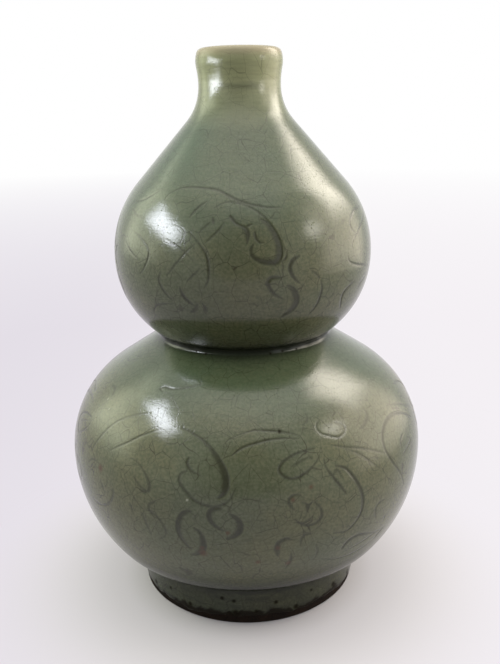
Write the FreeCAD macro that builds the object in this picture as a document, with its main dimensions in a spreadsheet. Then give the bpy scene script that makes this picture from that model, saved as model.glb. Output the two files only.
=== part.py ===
import FreeCAD, Part
import math
import os
from collections import namedtuple

import Sketcher

# A double gourd vase of glazed stoneware. It is thrown in sections that are joined with slip, so each
# section, each seam of slip and each coat of glaze is a piece of its own. The vase is round about the
# Z axis, and stands on Z = 0.
#
# Driving dimensions, in millimetres. Radii and heights are those of the clay, under the glaze. The
# height of a section is its own, and the slip between two sections adds to the height of the vase.
driving_sizes = {
    # foot ring
    "foot_radius": 62.2,
    "foot_height": 25.7,
    "foot_width": 8.2,
    "foot_outer_bevel": 2.2,
    "foot_inner_bevel": 1.4,
    # lower bulb
    "lower_belly_radius": 98.25,
    "lower_bowl_height": 60.5,
    "lower_shoulder_height": 63.0,
    # radius of the round lower shoulder, as a share of its height
    "shoulder_curve_share": 0.865,
    "recess_height": 20.5,
    "floor_thickness": 10.5,
    "floor_radius": 58.5,
    # waist
    "waist_radius": 46.35,
    "waist_curve": 2.8,
    # upper bulb
    "upper_belly_radius": 68.9,
    "upper_bowl_height": 44.0,
    "upper_shoulder_height": 86.2,
    # neck
    "throat_radius": 20.7,
    "neck_height": 16.6,
    "neck_flare_curve": 38.8,
    "lip_curve": 14.0,
    "lip_drop": 5.7,
    # walls, seams and coats
    "wall": 5.0,
    "slip": 0.8,
    "seam_key": 1.5,
    "glaze": 0.8,
    "glaze_line": 3.4,
    "recess_glaze_line": 6.0,
    # places on the outline where one curve hands over to the next, as shares of the rise and run
    "underside_run_share": 0.537,
    "underside_rise_share": 0.193,
    "floor_run_share": 0.55,
    "floor_rise_share": 0.172,
    "pear_run_share": 0.71,
    "pear_rise_share": 0.429,
}

document = FreeCAD.newDocument("DoubleGourdVase")
sheet = document.addObject("Spreadsheet::Sheet", "Sizes")
for row, (alias, value) in enumerate(driving_sizes.items(), start=1):
    sheet.set(f"A{row}", alias.replace("_", " "))
    sheet.set(f"B{row}", str(value))
    sheet.setAlias(f"B{row}", alias)
document.recompute()


# A measure is a number and the expression on the sheet that gives it, so that a sketch can be drawn
# with the one and driven by the other.
class Measure:
    def __init__(self, number, text):
        self.number = number
        self.text = text

    def __add__(self, other):
        return Measure(self.number + other.number, f"{self.text} + {other.text}")

    def __sub__(self, other):
        return Measure(self.number - other.number, f"{self.text} - ({other.text})")

    def times(self, other):
        return Measure(self.number * other.number, f"({self.text}) * ({other.text})")

    def half(self):
        return Measure(self.number / 2, f"({self.text}) / 2")


def values(pair):
    return tuple(measure.number for measure in pair)


def size(alias):
    return Measure(float(sheet.get(alias)), f"{sheet.Label}.{alias}")


NOTHING = Measure(0.0, "0")
WALL = size("wall")
SLIP = size("slip")
GLAZE = size("glaze")

# A station is a level ring of the vase where a section ends with an upright wall.
Station = namedtuple("Station", "radius height")
foot_seat = Station(size("foot_radius"), size("foot_height"))
lower_belly = Station(size("lower_belly_radius"), foot_seat.height + size("lower_bowl_height"))
waist = Station(size("waist_radius"), lower_belly.height + SLIP + size("lower_shoulder_height"))
upper_belly = Station(size("upper_belly_radius"), waist.height + SLIP + size("upper_bowl_height"))
throat = Station(size("throat_radius"), upper_belly.height + SLIP + size("upper_shoulder_height"))
rim_height = throat.height + SLIP + size("neck_height")
shoulder_curve = size("lower_shoulder_height").times(size("shoulder_curve_share"))

# A layer lies between two depths, measured into the wall from the outer face of the clay.
Layer = namedtuple("Layer", "near far keyed")
clay = Layer(NOTHING, WALL, True)
outer_coat = Layer(NOTHING - GLAZE, NOTHING, False)
inner_coat = Layer(WALL, WALL + GLAZE, False)

# A curve of the outline at depth zero: side is 1 where the wall bulges and -1 where it is hollow.
Curve = namedtuple("Curve", "x y radius side")


def on_curve(curve, angle, depth):
    reach = curve.side * curve.radius - depth.number
    return (curve.x + reach * math.cos(angle), curve.y + reach * math.sin(angle))


def bulge_and_hollow(bulge, bulge_height, hollow, hollow_height, hollow_curve):
    # The belly starts upright at the bulb's widest ring and runs smoothly into the hollow of the
    # waist, so its radius follows from the two rings and the radius of the hollow.
    rise = hollow_height - bulge_height
    run = hollow + hollow_curve - bulge
    bulge_curve = (run ** 2 + rise ** 2 - hollow_curve ** 2) / (2 * (bulge - hollow))
    outward = Curve(bulge - bulge_curve, bulge_height, bulge_curve, 1)
    inward = Curve(hollow + hollow_curve, hollow_height, hollow_curve, -1)
    turn = math.atan2(inward.y - outward.y, inward.x - outward.x)
    return outward, inward, turn


def upright_through(start_x, start_y, end_x, end_y):
    # The arc that leaves its start upright and passes through its end, bending towards the axis.
    run = start_x - end_x
    rise = end_y - start_y
    radius = (run ** 2 + rise ** 2) / (2 * run)
    curve = Curve(start_x - radius, start_y, radius, 1)
    return curve, math.atan2(end_y - curve.y, end_x - curve.x)


def tangent_through(curve, angle, end_x, end_y):
    # The arc that carries on smoothly from one curve at an angle, and passes through its end.
    start_x, start_y = on_curve(curve, angle, NOTHING)
    normal_x, normal_y = math.cos(angle), math.sin(angle)
    chord_x, chord_y = end_x - start_x, end_y - start_y
    radius = -(chord_x ** 2 + chord_y ** 2) / (2 * (chord_x * normal_x + chord_y * normal_y))
    following = Curve(start_x - radius * normal_x, start_y - radius * normal_y, radius, 1)
    return following, math.atan2(end_y - following.y, end_x - following.x)


# Edges of the outline, listed upwards as (curve, angle at its low end, angle at its high end), or as
# (None, low curve, high curve, angle) for a straight run between two curves.
def lower_shoulder_edges():
    # The round shoulder, the straight slope above it and the tight hollow of the waist.
    bulge_curve, hollow_curve = shoulder_curve.number, size("waist_curve").number
    outward = Curve(lower_belly.radius.number - bulge_curve, (lower_belly.height + SLIP).number,
                    bulge_curve, 1)
    inward = Curve(waist.radius.number + hollow_curve, waist.height.number, hollow_curve, -1)
    across, up = inward.x - outward.x, inward.y - outward.y
    # The slope is tangent to both, and crosses the line between their centres.
    turn = math.atan2(up, across) - math.acos((bulge_curve + hollow_curve) / math.hypot(across, up))
    return [(outward, 0.0, turn), (None, outward, inward, turn), (inward, turn, 0.0)]


def upper_bowl_edges():
    outward, inward, turn = bulge_and_hollow(
        upper_belly.radius.number, upper_belly.height.number,
        waist.radius.number, (waist.height + SLIP).number, size("waist_curve").number)
    return [(inward, 0.0, turn), (outward, turn, 0.0)]


def pear_turn():
    # Where the upper bulb's round side hands over to the straight slope under the neck.
    start = upper_belly.height + SLIP
    run = (upper_belly.radius - throat.radius).times(size("pear_run_share"))
    rise = size("upper_shoulder_height").times(size("pear_rise_share"))
    return throat.radius + run, start + rise


def upper_shoulder_edges():
    turn_x, turn_y = pear_turn()
    outward, turn = upright_through(
        upper_belly.radius.number, (upper_belly.height + SLIP).number, turn_x.number, turn_y.number)
    # The straight slope and the upright throat are both tangent to the hollow between them.
    slope_rise = (turn_x.number - throat.radius.number) / math.tan(turn)
    apex = turn_y.number + slope_rise
    hollow_curve = (throat.height.number - apex) / math.tan(turn / 2)
    inward = Curve(throat.radius.number + hollow_curve, throat.height.number, hollow_curve, -1)
    return [(outward, 0.0, turn), (None, outward, inward, turn), (inward, turn, 0.0)]


def underside_turn():
    # Where the lower belly hands over to the tighter curve of the underside.
    run = (lower_belly.radius - foot_seat.radius).times(size("underside_run_share"))
    rise = size("lower_bowl_height").times(size("underside_rise_share"))
    return foot_seat.radius + run, foot_seat.height + rise


def floor_turn():
    # The same on the inside, between the belly and the round that leads into the floor.
    wall_x = lower_belly.radius - WALL
    floor_y = size("recess_height") + size("floor_thickness")
    run = (wall_x - size("floor_radius")).times(size("floor_run_share"))
    rise = (lower_belly.height - floor_y).times(size("floor_rise_share"))
    return size("floor_radius") + run, floor_y + rise


def bowl_edges(top_x, turn, foot_x, foot_y):
    belly, belly_turn = upright_through(top_x, lower_belly.height.number, *turn)
    underside, foot_angle = tangent_through(belly, belly_turn, foot_x, foot_y)
    return [(underside, foot_angle, belly_turn), (belly, belly_turn, 0.0)]


class Outline:
    # A closed outline in the upright plane of one body: x is the radius and y the height. Lines and
    # arcs are drawn one after the other, and each starts where the last one ended.
    def __init__(self, body, label):
        self.sketch = body.newObject("Sketcher::SketchObject", label)
        upright = [plane for plane in body.Origin.OriginFeatures if plane.Role == "XZ_Plane"][0]
        self.sketch.AttachmentSupport = [(upright, "")]
        self.sketch.MapMode = "FlatFace"
        self.first = None
        self.last = None

    def limit(self, kind, *where):
        self.sketch.addConstraint(Sketcher.Constraint(kind, *where))

    def join(self, end, smooth):
        if self.last is None:
            self.first = end
        elif smooth:
            self.limit("Tangent", *self.last, *end)
        else:
            self.limit("Coincident", *self.last, *end)

    def line(self, start, end, smooth=False):
        corners = [FreeCAD.Vector(x, y, 0) for x, y in (start, end)]
        index = self.sketch.addGeometry(Part.LineSegment(*corners), False)
        self.join((index, 1), smooth)
        self.last = (index, 2)
        return index

    def arc(self, centre, radius, start_angle, end_angle, smooth=False):
        circle = Part.Circle(FreeCAD.Vector(*centre, 0), FreeCAD.Vector(0, 0, 1), radius)
        low, high = sorted((start_angle, end_angle))
        index = self.sketch.addGeometry(Part.ArcOfCircle(circle, low, high), False)
        start, end = (1, 2) if start_angle < end_angle else (2, 1)
        self.join((index, start), smooth)
        self.last = (index, end)
        return index

    def close(self, smooth=False):
        self.join(self.first, smooth)

    def bound(self, kind, where, measure):
        index = self.sketch.addConstraint(Sketcher.Constraint(kind, *where, measure.number))
        self.sketch.setExpression(f"Constraints[{index}]", measure.text)

    def place(self, point, radius=None, height=None):
        if radius is not None:
            self.bound("DistanceX", (-1, 1, *point), radius)
        if height is not None:
            self.bound("DistanceY", (-1, 1, *point), height)

    def on_axis(self, point):
        self.limit("PointOnObject", *point, -2)

    def level(self, point, other):
        self.limit("Horizontal", *point, *other)

    def concentric(self, index, other):
        self.limit("Coincident", index, 3, other, 3)

    def edge_run(self, edges, depth, upwards, smooth_start=False):
        # Draws the edges of one face of the wall and returns the number of each, from the low end.
        drawn = []
        smooth = smooth_start
        for edge in (edges if upwards else reversed(edges)):
            if edge[0] is None:
                ends = [on_curve(curve, edge[3], depth) for curve in edge[1:3]]
                drawn.append(self.line(*(ends if upwards else reversed(ends)), smooth))
            else:
                curve, low, high = edge
                start, end = (low, high) if upwards else (high, low)
                half_turn = 0.0 if curve.side > 0 else math.pi
                radius = curve.radius - curve.side * depth.number
                centre = (curve.x, curve.y)
                drawn.append(self.arc(centre, radius, start + half_turn, end + half_turn, smooth))
            smooth = True
        return drawn if upwards else drawn[::-1]

    def revolve(self, body, label):
        turned = body.newObject("PartDesign::Revolution", label)
        turned.Profile = self.sketch
        turned.ReferenceAxis = (self.sketch, ["V_Axis"])
        turned.Angle = 360.0
        self.sketch.Visibility = False
        document.recompute()
        return turned


def end_point(edge, index, low_end):
    # The point of an edge at its low or high end: bulging arcs run upwards, hollow ones downwards.
    if edge[0] is None:
        return (index, 1 if low_end else 2)
    rising = edge[2] > edge[1]
    return (index, 1 if low_end == rising else 2)


def draw_wall(body, label, low, high, edges, layer, given, turn=None):
    # One layer of a section between two stations. The section's own clay starts above the slip of
    # the seam below it, and has keyed ends, while a coat covers that seam too and has level ends.
    # given holds the radius of each curve that isn't worked out from the others.
    outline = Outline(body, label + "Profile")
    start = low.height + SLIP
    near_low = on_curve(edges[0][0], 0.0, layer.near)
    far_low = on_curve(edges[0][0], 0.0, layer.far)
    near_high = on_curve(edges[-1][0], 0.0, layer.near)
    far_high = on_curve(edges[-1][0], 0.0, layer.far)
    if not layer.keyed:
        near_run = outline.line((near_low[0], low.height.number), near_low)
        outline.limit("Vertical", near_run)
        outline.place((near_run, 1), height=low.height)
    near = outline.edge_run(edges, layer.near, True)
    if layer.keyed:
        key_x = high.radius - WALL.half()
        key_y = high.height - size("seam_key")
        tip = (key_x.number, key_y.number)
        groove = outline.line(near_high, tip)
        outline.line(tip, far_high)
        outline.place((groove, 2), key_x, key_y)
    else:
        outline.line(near_high, far_high)
    far = outline.edge_run(edges, layer.far, False)
    if layer.keyed:
        key_x = low.radius - WALL.half()
        key_y = start - size("seam_key")
        tip = (key_x.number, key_y.number)
        tongue = outline.line(far_low, tip)
        outline.line(tip, near_low)
        outline.place((tongue, 2), key_x, key_y)
    else:
        far_run = outline.line(far_low, (far_low[0], low.height.number))
        outline.limit("Vertical", far_run)
        outline.level((far_run, 2), (near_run, 1))
        outline.line((far_low[0], low.height.number), (near_low[0], low.height.number))
    outline.close()

    near_start, near_end = end_point(edges[0], near[0], True), end_point(edges[-1], near[-1], False)
    far_start, far_end = end_point(edges[0], far[0], True), end_point(edges[-1], far[-1], False)
    outline.place(near_start, low.radius - layer.near, start)
    outline.place(near_end, high.radius - layer.near, high.height)
    outline.level((near[0], 3), near_start)
    outline.level((near[-1], 3), near_end)
    for number, (edge, curve) in enumerate(zip(edges, given)):
        if curve is not None:
            depth = layer.near if edge[0].side < 0 else NOTHING - layer.near
            outline.bound("Radius", (near[number],), curve + depth)
    if turn is not None:
        # The turn is a place on the clay's outer face, so a layer at a depth has a guide there.
        place_turn(outline, edges, near, layer.near, low, start, turn)
    for number, edge in enumerate(edges):
        if edge[0] is not None:
            outline.concentric(far[number], near[number])
    outline.place(far_start, low.radius - layer.far)
    outline.level(far_start, near_start)
    outline.level(far_end, near_end)
    if any(edge[0] is None for edge in edges):
        outline.place(far_end, high.radius - layer.far)
    return outline.revolve(body, label)


def place_turn(outline, edges, near, depth, low, start, turn):
    outward = edges[0][0]
    if depth is NOTHING:
        outline.place(end_point(edges[0], near[0], False), turn[0], turn[1])
        return
    # A guide arc on the clay's outer face passes through the turn, with the layer's arc about it.
    centre = FreeCAD.Vector(outward.x, outward.y, 0)
    circle = Part.Circle(centre, FreeCAD.Vector(0, 0, 1), outward.radius)
    guide = outline.sketch.addGeometry(Part.ArcOfCircle(circle, 0.0, edges[0][2]), True)
    outline.concentric(guide, near[0])
    outline.place((guide, 1), low.radius, start)
    outline.place((guide, 2), turn[0], turn[1])
    ray_end = FreeCAD.Vector(*values(turn), 0)
    ray = outline.sketch.addGeometry(Part.LineSegment(centre, ray_end), True)
    outline.limit("Coincident", ray, 1, guide, 3)
    outline.limit("Coincident", ray, 2, guide, 2)
    outline.limit("PointOnObject", *end_point(edges[0], near[0], False), ray)


def place_bowl_edges(outline, edges, run, top, turn, foot):
    # The belly leaves its top upright, and hands over to the tighter curve that runs to the foot.
    outline.place(end_point(edges[1], run[1], False), *top)
    outline.level((run[1], 3), end_point(edges[1], run[1], False))
    outline.place(end_point(edges[0], run[0], False), *turn)
    outline.place(end_point(edges[0], run[0], True), *foot)


def draw_bowl(body, label):
    # The lower bowl: outside from the foot up to the belly, inside down to a flat floor, and under
    # the floor a boss that sits in the foot ring.
    outline = Outline(body, label + "Profile")
    wall_x, flat_x = lower_belly.radius - WALL, size("floor_radius")
    floor_y = size("recess_height") + size("floor_thickness")
    inner_top = Station(wall_x, lower_belly.height)
    boss_x = foot_seat.radius - size("foot_width") - SLIP
    key_x, key_y = lower_belly.radius - WALL.half(), lower_belly.height - size("seam_key")
    outer = bowl_edges(lower_belly.radius.number, values(underside_turn()), *values(foot_seat))
    inner = bowl_edges(wall_x.number, values(floor_turn()), flat_x.number, floor_y.number)
    near = outline.edge_run(outer, NOTHING, True)
    groove = outline.line(values(lower_belly), values((key_x, key_y)))
    outline.line(values((key_x, key_y)), values(inner_top))
    far = outline.edge_run(inner, NOTHING, False)
    floor = outline.line(values((flat_x, floor_y)), values((NOTHING, floor_y)))
    middle = outline.line(values((NOTHING, floor_y)), values((NOTHING, size("recess_height"))))
    recess = outline.line(values((NOTHING, size("recess_height"))), values((boss_x, size("recess_height"))))
    step = outline.line(values((boss_x, size("recess_height"))), values((boss_x, foot_seat.height)))
    seat = outline.line(values((boss_x, foot_seat.height)), values(foot_seat))
    outline.close()

    place_bowl_edges(outline, outer, near, lower_belly, underside_turn(), foot_seat)
    place_bowl_edges(outline, inner, far, inner_top, floor_turn(), (flat_x, floor_y))
    outline.place((groove, 2), key_x, key_y)
    outline.limit("Horizontal", floor)
    outline.on_axis((middle, 1))
    outline.place((middle, 2), NOTHING, size("recess_height"))
    outline.limit("Horizontal", recess)
    outline.place((step, 1), boss_x)
    outline.limit("Vertical", step)
    outline.limit("Horizontal", seat)
    return outline.revolve(body, label)


def draw_bowl_coat_outside(body, label):
    # The coat from the glaze line on the foot, up over the underside to the belly.
    outline = Outline(body, label + "Profile")
    edges = bowl_edges(lower_belly.radius.number, values(underside_turn()), *values(foot_seat))
    skin = NOTHING - GLAZE
    foot_x, line_y = foot_seat.radius + GLAZE, size("glaze_line")
    underside = edges[0][0]
    corner_angle = -math.acos((foot_x.number - underside.x) / (underside.radius + GLAZE.number))
    skin_edges = [(underside, corner_angle, edges[0][2]), edges[1]]
    corner = on_curve(underside, corner_angle, skin)
    near_foot = outline.line(values((foot_x, line_y)), corner)
    near = outline.edge_run(skin_edges, skin, True)
    outline.line(on_curve(edges[1][0], 0.0, skin), values(lower_belly))
    far = outline.edge_run(edges, NOTHING, False)
    far_foot = outline.line(values(foot_seat), values((foot_seat.radius, line_y)))
    outline.line(values((foot_seat.radius, line_y)), values((foot_x, line_y)))
    outline.close()

    outline.place((near_foot, 1), foot_x, line_y)
    outline.limit("Vertical", near_foot)
    place_bowl_edges(outline, edges, far, lower_belly, underside_turn(), foot_seat)
    outline.concentric(near[0], far[0])
    outline.concentric(near[1], far[1])
    outline.place(end_point(edges[1], near[1], False), lower_belly.radius + GLAZE)
    outline.level(end_point(edges[1], near[1], False), end_point(edges[1], far[1], False))
    outline.limit("Vertical", far_foot)
    outline.level((far_foot, 2), (near_foot, 1))
    return outline.revolve(body, label)


def draw_bowl_coat_inside(body, label):
    # The coat on the floor and up the inside of the bowl.
    outline = Outline(body, label + "Profile")
    wall_x, flat_x = lower_belly.radius - WALL, size("floor_radius")
    floor_y = size("recess_height") + size("floor_thickness")
    edges = bowl_edges(wall_x.number, values(floor_turn()), flat_x.number, floor_y.number)
    top_y = floor_y + GLAZE
    floor_round = edges[0][0]
    low_angle = -math.asin((floor_round.y - top_y.number) / (floor_round.radius - GLAZE.number))
    skin_edges = [(floor_round, low_angle, edges[0][2]), edges[1]]
    below = outline.line(values((NOTHING, floor_y)), values((flat_x, floor_y)))
    near = outline.edge_run(edges, NOTHING, True)
    outline.line(on_curve(edges[1][0], 0.0, NOTHING), on_curve(edges[1][0], 0.0, GLAZE))
    far = outline.edge_run(skin_edges, GLAZE, False)
    above = outline.line(on_curve(floor_round, low_angle, GLAZE), values((NOTHING, top_y)))
    outline.line(values((NOTHING, top_y)), values((NOTHING, floor_y)))
    outline.close()

    inner_top = Station(wall_x, lower_belly.height)
    place_bowl_edges(outline, edges, near, inner_top, floor_turn(), (flat_x, floor_y))
    outline.limit("Horizontal", below)
    outline.on_axis((below, 1))
    outline.concentric(far[0], near[0])
    outline.concentric(far[1], near[1])
    outline.place(end_point(edges[1], far[1], False), wall_x - GLAZE)
    outline.level(end_point(edges[1], far[1], False), end_point(edges[1], near[1], False))
    outline.limit("Horizontal", above)
    outline.place((above, 2), NOTHING, top_y)
    return outline.revolve(body, label)


def lip_shapes():
    # The neck flares from the throat, bulges gently to the lip, and ends in a half round as thick as
    # the wall. The crest angle is where the bulge meets that half round.
    flare_curve, lip_curve = size("neck_flare_curve").number, size("lip_curve").number
    start_y = (throat.height + SLIP).number
    lip_y = (rim_height - size("lip_drop")).number
    flare_x = throat.radius.number + flare_curve
    reach = flare_curve + lip_curve
    lip_x = flare_x - math.sqrt(reach ** 2 - (lip_y - start_y) ** 2)
    flare = Curve(flare_x, start_y, flare_curve, -1)
    bulge = Curve(lip_x, lip_y, lip_curve, 1)
    lean = math.atan2(start_y - lip_y, flare_x - lip_x)
    middle = lip_curve - WALL.half().number
    crest_y = (rim_height - WALL.half()).number
    crest_angle = math.asin((crest_y - lip_y) / middle)
    crest = (lip_x + middle * math.cos(crest_angle), crest_y)
    return [(flare, 0.0, lean), (bulge, lean, crest_angle)], crest


def place_lip(outline, edges, near, round_top, depth):
    # Ties down the outer or inner face of the neck: throat, flare, bulge and half round.
    start = end_point(edges[0], near[0], True)
    outline.place(start, throat.radius - depth, throat.height + SLIP)
    outline.level((near[0], 3), start)
    outline.bound("Radius", (near[0],), size("neck_flare_curve") + depth)
    outline.bound("Radius", (near[1],), size("lip_curve") - depth)
    outline.place((near[1], 3), height=rim_height - size("lip_drop"))
    outline.place((round_top, 3), height=rim_height - WALL.half())


def draw_neck(body, label):
    outline = Outline(body, label + "Profile")
    edges, crest = lip_shapes()
    key_x = throat.radius - WALL.half()
    key_y = throat.height + SLIP - size("seam_key")
    near = outline.edge_run(edges, NOTHING, True)
    crest_angle = edges[1][2]
    round_top = outline.arc(crest, WALL.half().number, crest_angle, crest_angle + math.pi, True)
    far = outline.edge_run(edges, WALL, False, True)
    tongue = outline.line(on_curve(edges[0][0], 0.0, WALL), values((key_x, key_y)))
    outline.line(values((key_x, key_y)), on_curve(edges[0][0], 0.0, NOTHING))
    outline.close()

    place_lip(outline, edges, near, round_top, NOTHING)
    outline.place((tongue, 2), key_x, key_y)
    outline.concentric(far[0], near[0])
    outline.concentric(far[1], near[1])
    inner_start = end_point(edges[0], far[0], True)
    outline.level(inner_start, end_point(edges[0], near[0], True))
    outline.place(inner_start, throat.radius - WALL)
    return outline.revolve(body, label)


def draw_lip_coat(body, label, layer, outside):
    # A coat on the neck, from the seam at the throat to the crest of the lip.
    outline = Outline(body, label + "Profile")
    edges, crest = lip_shapes()
    low, start = throat.height, throat.height + SLIP
    near_low = on_curve(edges[0][0], 0.0, layer.near)
    far_low = on_curve(edges[0][0], 0.0, layer.far)
    side_angle = edges[1][2] if outside else edges[1][2] + math.pi
    near_round, far_round = (
        WALL.half() - depth if outside else depth - WALL.half() for depth in (layer.near, layer.far))
    near_run = outline.line((near_low[0], low.number), near_low)
    near = outline.edge_run(edges, layer.near, True)
    near_top = outline.arc(crest, near_round.number, side_angle, math.pi / 2, True)
    outline.line((crest[0], crest[1] + near_round.number), (crest[0], crest[1] + far_round.number))
    far_top = outline.arc(crest, far_round.number, math.pi / 2, side_angle)
    far = outline.edge_run(edges, layer.far, False, True)
    far_run = outline.line(far_low, (far_low[0], low.number))
    outline.line((far_low[0], low.number), (near_low[0], low.number))
    outline.close()

    place_lip(outline, edges, near, near_top, layer.near)
    outline.bound("Radius", (near_top,), near_round)
    outline.limit("Vertical", near_run)
    outline.place((near_run, 1), height=low)
    for inner, outer in ((far[0], near[0]), (far[1], near[1]), (far_top, near_top)):
        outline.concentric(inner, outer)
    far_start = end_point(edges[0], far[0], True)
    outline.level(far_start, end_point(edges[0], near[0], True))
    outline.place(far_start, throat.radius - layer.far)
    outline.limit("Vertical", far_run)
    outline.level((far_run, 2), (near_run, 1))
    crest_end = 2 if outside else 1
    outline.limit("Vertical", near_top, crest_end, near_top, 3)
    outline.limit("Vertical", far_top, crest_end, far_top, 3)
    return outline.revolve(body, label)


def draw_corners(body, label, corners):
    # An outline of straight lines, each corner placed by its radius and height.
    outline = Outline(body, label + "Profile")
    points = [values(corner) for corner in corners]
    lines = [outline.line(*ends) for ends in zip(points, points[1:] + points[:1])]
    outline.close()
    for line, (radius, height) in zip(lines, corners):
        outline.place((line, 1), radius, height)
    return outline.revolve(body, label)


def foot_ring_corners():
    inner = foot_seat.radius - size("foot_width")
    top = foot_seat.height - SLIP
    return [
        (foot_seat.radius, size("foot_outer_bevel")), (foot_seat.radius, top), (inner, top),
        (inner, size("foot_inner_bevel")), (inner + size("foot_inner_bevel"), NOTHING),
        (foot_seat.radius - size("foot_outer_bevel"), NOTHING)]


def foot_lute_corners():
    # The slip lies on the foot ring and turns down around the boss under the floor.
    ring_x = foot_seat.radius - size("foot_width")
    top = foot_seat.height
    return [
        (foot_seat.radius, top - SLIP), (foot_seat.radius, top), (ring_x - SLIP, top),
        (ring_x - SLIP, size("recess_height")), (ring_x, size("recess_height")), (ring_x, top - SLIP)]


def base_glaze_corners():
    # The coat under the floor and down the inside of the foot ring.
    ring_x = foot_seat.radius - size("foot_width")
    top = size("recess_height")
    line_y = size("recess_glaze_line")
    return [
        (NOTHING, top), (ring_x, top), (ring_x, line_y), (ring_x - GLAZE, line_y),
        (ring_x - GLAZE, top - GLAZE), (NOTHING, top - GLAZE)]


def seam_corners(station):
    # The slip between two sections, keyed by a groove in the lower rim and a tongue on the upper.
    outer, inner, key_x = station.radius, station.radius - WALL, station.radius - WALL.half()
    low, high = station.height, station.height + SLIP
    key = size("seam_key")
    return [
        (outer, low), (outer, high), (key_x, high - key),
        (inner, high), (inner, low), (key_x, low - key)]


pieces = {}


def new_piece(label):
    pieces[label] = document.addObject("PartDesign::Body", label)
    pieces[label].Label = label
    pieces[label].Placement = FreeCAD.Placement()
    return pieces[label]


lower_shoulder_given = (shoulder_curve, None, size("waist_curve"))
upper_bowl_given = (size("waist_curve"), None)
upper_shoulder_given = (None, None, None)

# clay sections, from the foot up
draw_corners(new_piece("foot_ring"), "FootRing", foot_ring_corners())
draw_bowl(new_piece("lower_bulb_bowl"), "LowerBowl")
draw_wall(new_piece("lower_bulb_shoulder"), "LowerShoulder", lower_belly, waist,
          lower_shoulder_edges(), clay, lower_shoulder_given)
draw_wall(new_piece("upper_bulb_bowl"), "UpperBowl", waist, upper_belly,
          upper_bowl_edges(), clay, upper_bowl_given)
draw_wall(new_piece("upper_bulb_shoulder"), "UpperShoulder", upper_belly, throat,
          upper_shoulder_edges(), clay, upper_shoulder_given, pear_turn())
draw_neck(new_piece("neck_collar"), "Neck")

# seams of slip
draw_corners(new_piece("foot_lute"), "FootLute", foot_lute_corners())
for label, station in (("lower_equator_lute", lower_belly), ("waist_lute", waist),
                       ("upper_equator_lute", upper_belly), ("neck_lute", throat)):
    draw_corners(new_piece(label), label.title().replace("_", ""), seam_corners(station))

# coats of glaze, each built up section by section
for label, layer, draw_bowl_coat in (("outer_glaze", outer_coat, draw_bowl_coat_outside),
                                     ("inner_glaze", inner_coat, draw_bowl_coat_inside)):
    coat = new_piece(label)
    name = label.title().replace("_", "")
    draw_bowl_coat(coat, name + "Bowl")
    draw_wall(coat, name + "LowerShoulder", lower_belly, waist,
              lower_shoulder_edges(), layer, lower_shoulder_given)
    draw_wall(coat, name + "UpperBowl", waist, upper_belly,
              upper_bowl_edges(), layer, upper_bowl_given)
    draw_wall(coat, name + "UpperShoulder", upper_belly, throat,
              upper_shoulder_edges(), layer, upper_shoulder_given, pear_turn())
    draw_lip_coat(coat, name + "Lip", layer, layer is outer_coat)
draw_corners(new_piece("base_glaze"), "BaseGlaze", base_glaze_corners())

document.recompute()
for item in document.Objects:
    if "Invalid" in item.State or "Error" in item.State:
        raise RuntimeError(f"{item.Label} could not be made: {item.State}")
for label, body in pieces.items():
    if body.Shape.isNull() or not body.Shape.isValid() or len(body.Shape.Solids) != 1:
        raise RuntimeError(f"{label} isn't one sound solid")

os.makedirs("parts", exist_ok=True)
for label, body in pieces.items():
    body.Shape.exportStep(f"parts/{label}.step")
    print(f"{label}: {body.Shape.Volume / 1000:.1f} cubic centimetres")
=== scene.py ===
import math
from functools import partial

import bpy
import numpy as np
from mathutils import Matrix, Vector


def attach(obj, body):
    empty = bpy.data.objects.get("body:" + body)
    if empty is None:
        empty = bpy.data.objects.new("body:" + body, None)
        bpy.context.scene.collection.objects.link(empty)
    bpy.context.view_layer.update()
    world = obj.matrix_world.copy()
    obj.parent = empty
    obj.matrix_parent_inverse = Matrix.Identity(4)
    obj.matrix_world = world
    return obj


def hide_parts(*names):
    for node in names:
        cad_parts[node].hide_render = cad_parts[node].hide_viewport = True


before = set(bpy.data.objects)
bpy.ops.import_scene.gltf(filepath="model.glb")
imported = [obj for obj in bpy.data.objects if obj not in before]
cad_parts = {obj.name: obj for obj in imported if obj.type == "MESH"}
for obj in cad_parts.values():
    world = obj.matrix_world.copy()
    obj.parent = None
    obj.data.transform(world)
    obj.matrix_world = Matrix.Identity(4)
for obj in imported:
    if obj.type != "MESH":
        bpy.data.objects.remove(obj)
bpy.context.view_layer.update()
mm = 0.001
print("frame loaded")


def linearColour(hexText):
    channels = [int(hexText[start:start + 2], 16) / 255 for start in (0, 2, 4)]
    return tuple(c / 12.92 if c <= 0.04045 else ((c + 0.055) / 1.055) ** 2.4
                 for c in channels) + (1.0,)


def addNode(tree, kind, inputs=(), operation=None, **settings):
    # One node with its settings and its inputs, by name or in the order that the node shows them.
    # A socket is linked, a node is linked by the first output it shows, and the rest are values.
    node = tree.nodes.new(kind if "Node" in kind else "ShaderNode" + kind)
    if operation:
        node.operation = operation
    for name, value in settings.items():
        setattr(node, name, value)
    shown = [socket for socket in node.inputs if socket.enabled]
    byName = isinstance(inputs, dict)
    sockets = [node.inputs[name] for name in inputs] if byName else shown
    for socket, value in zip(sockets, inputs.values() if byName else inputs):
        if isinstance(value, bpy.types.Node):
            value = next(output for output in value.outputs if output.enabled)
        if isinstance(value, bpy.types.NodeSocket):
            tree.links.new(value, socket)
        else:
            socket.default_value = value
    return node


def emptyTree(owner):
    # Clears the owner's nodes, and returns what adds a node there.
    owner.use_nodes = True
    owner.node_tree.nodes.clear()
    return partial(addNode, owner.node_tree)


def inScene(name, data):
    thing = bpy.data.objects.new(name, data)
    bpy.context.scene.collection.objects.link(thing)
    return thing


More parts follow.
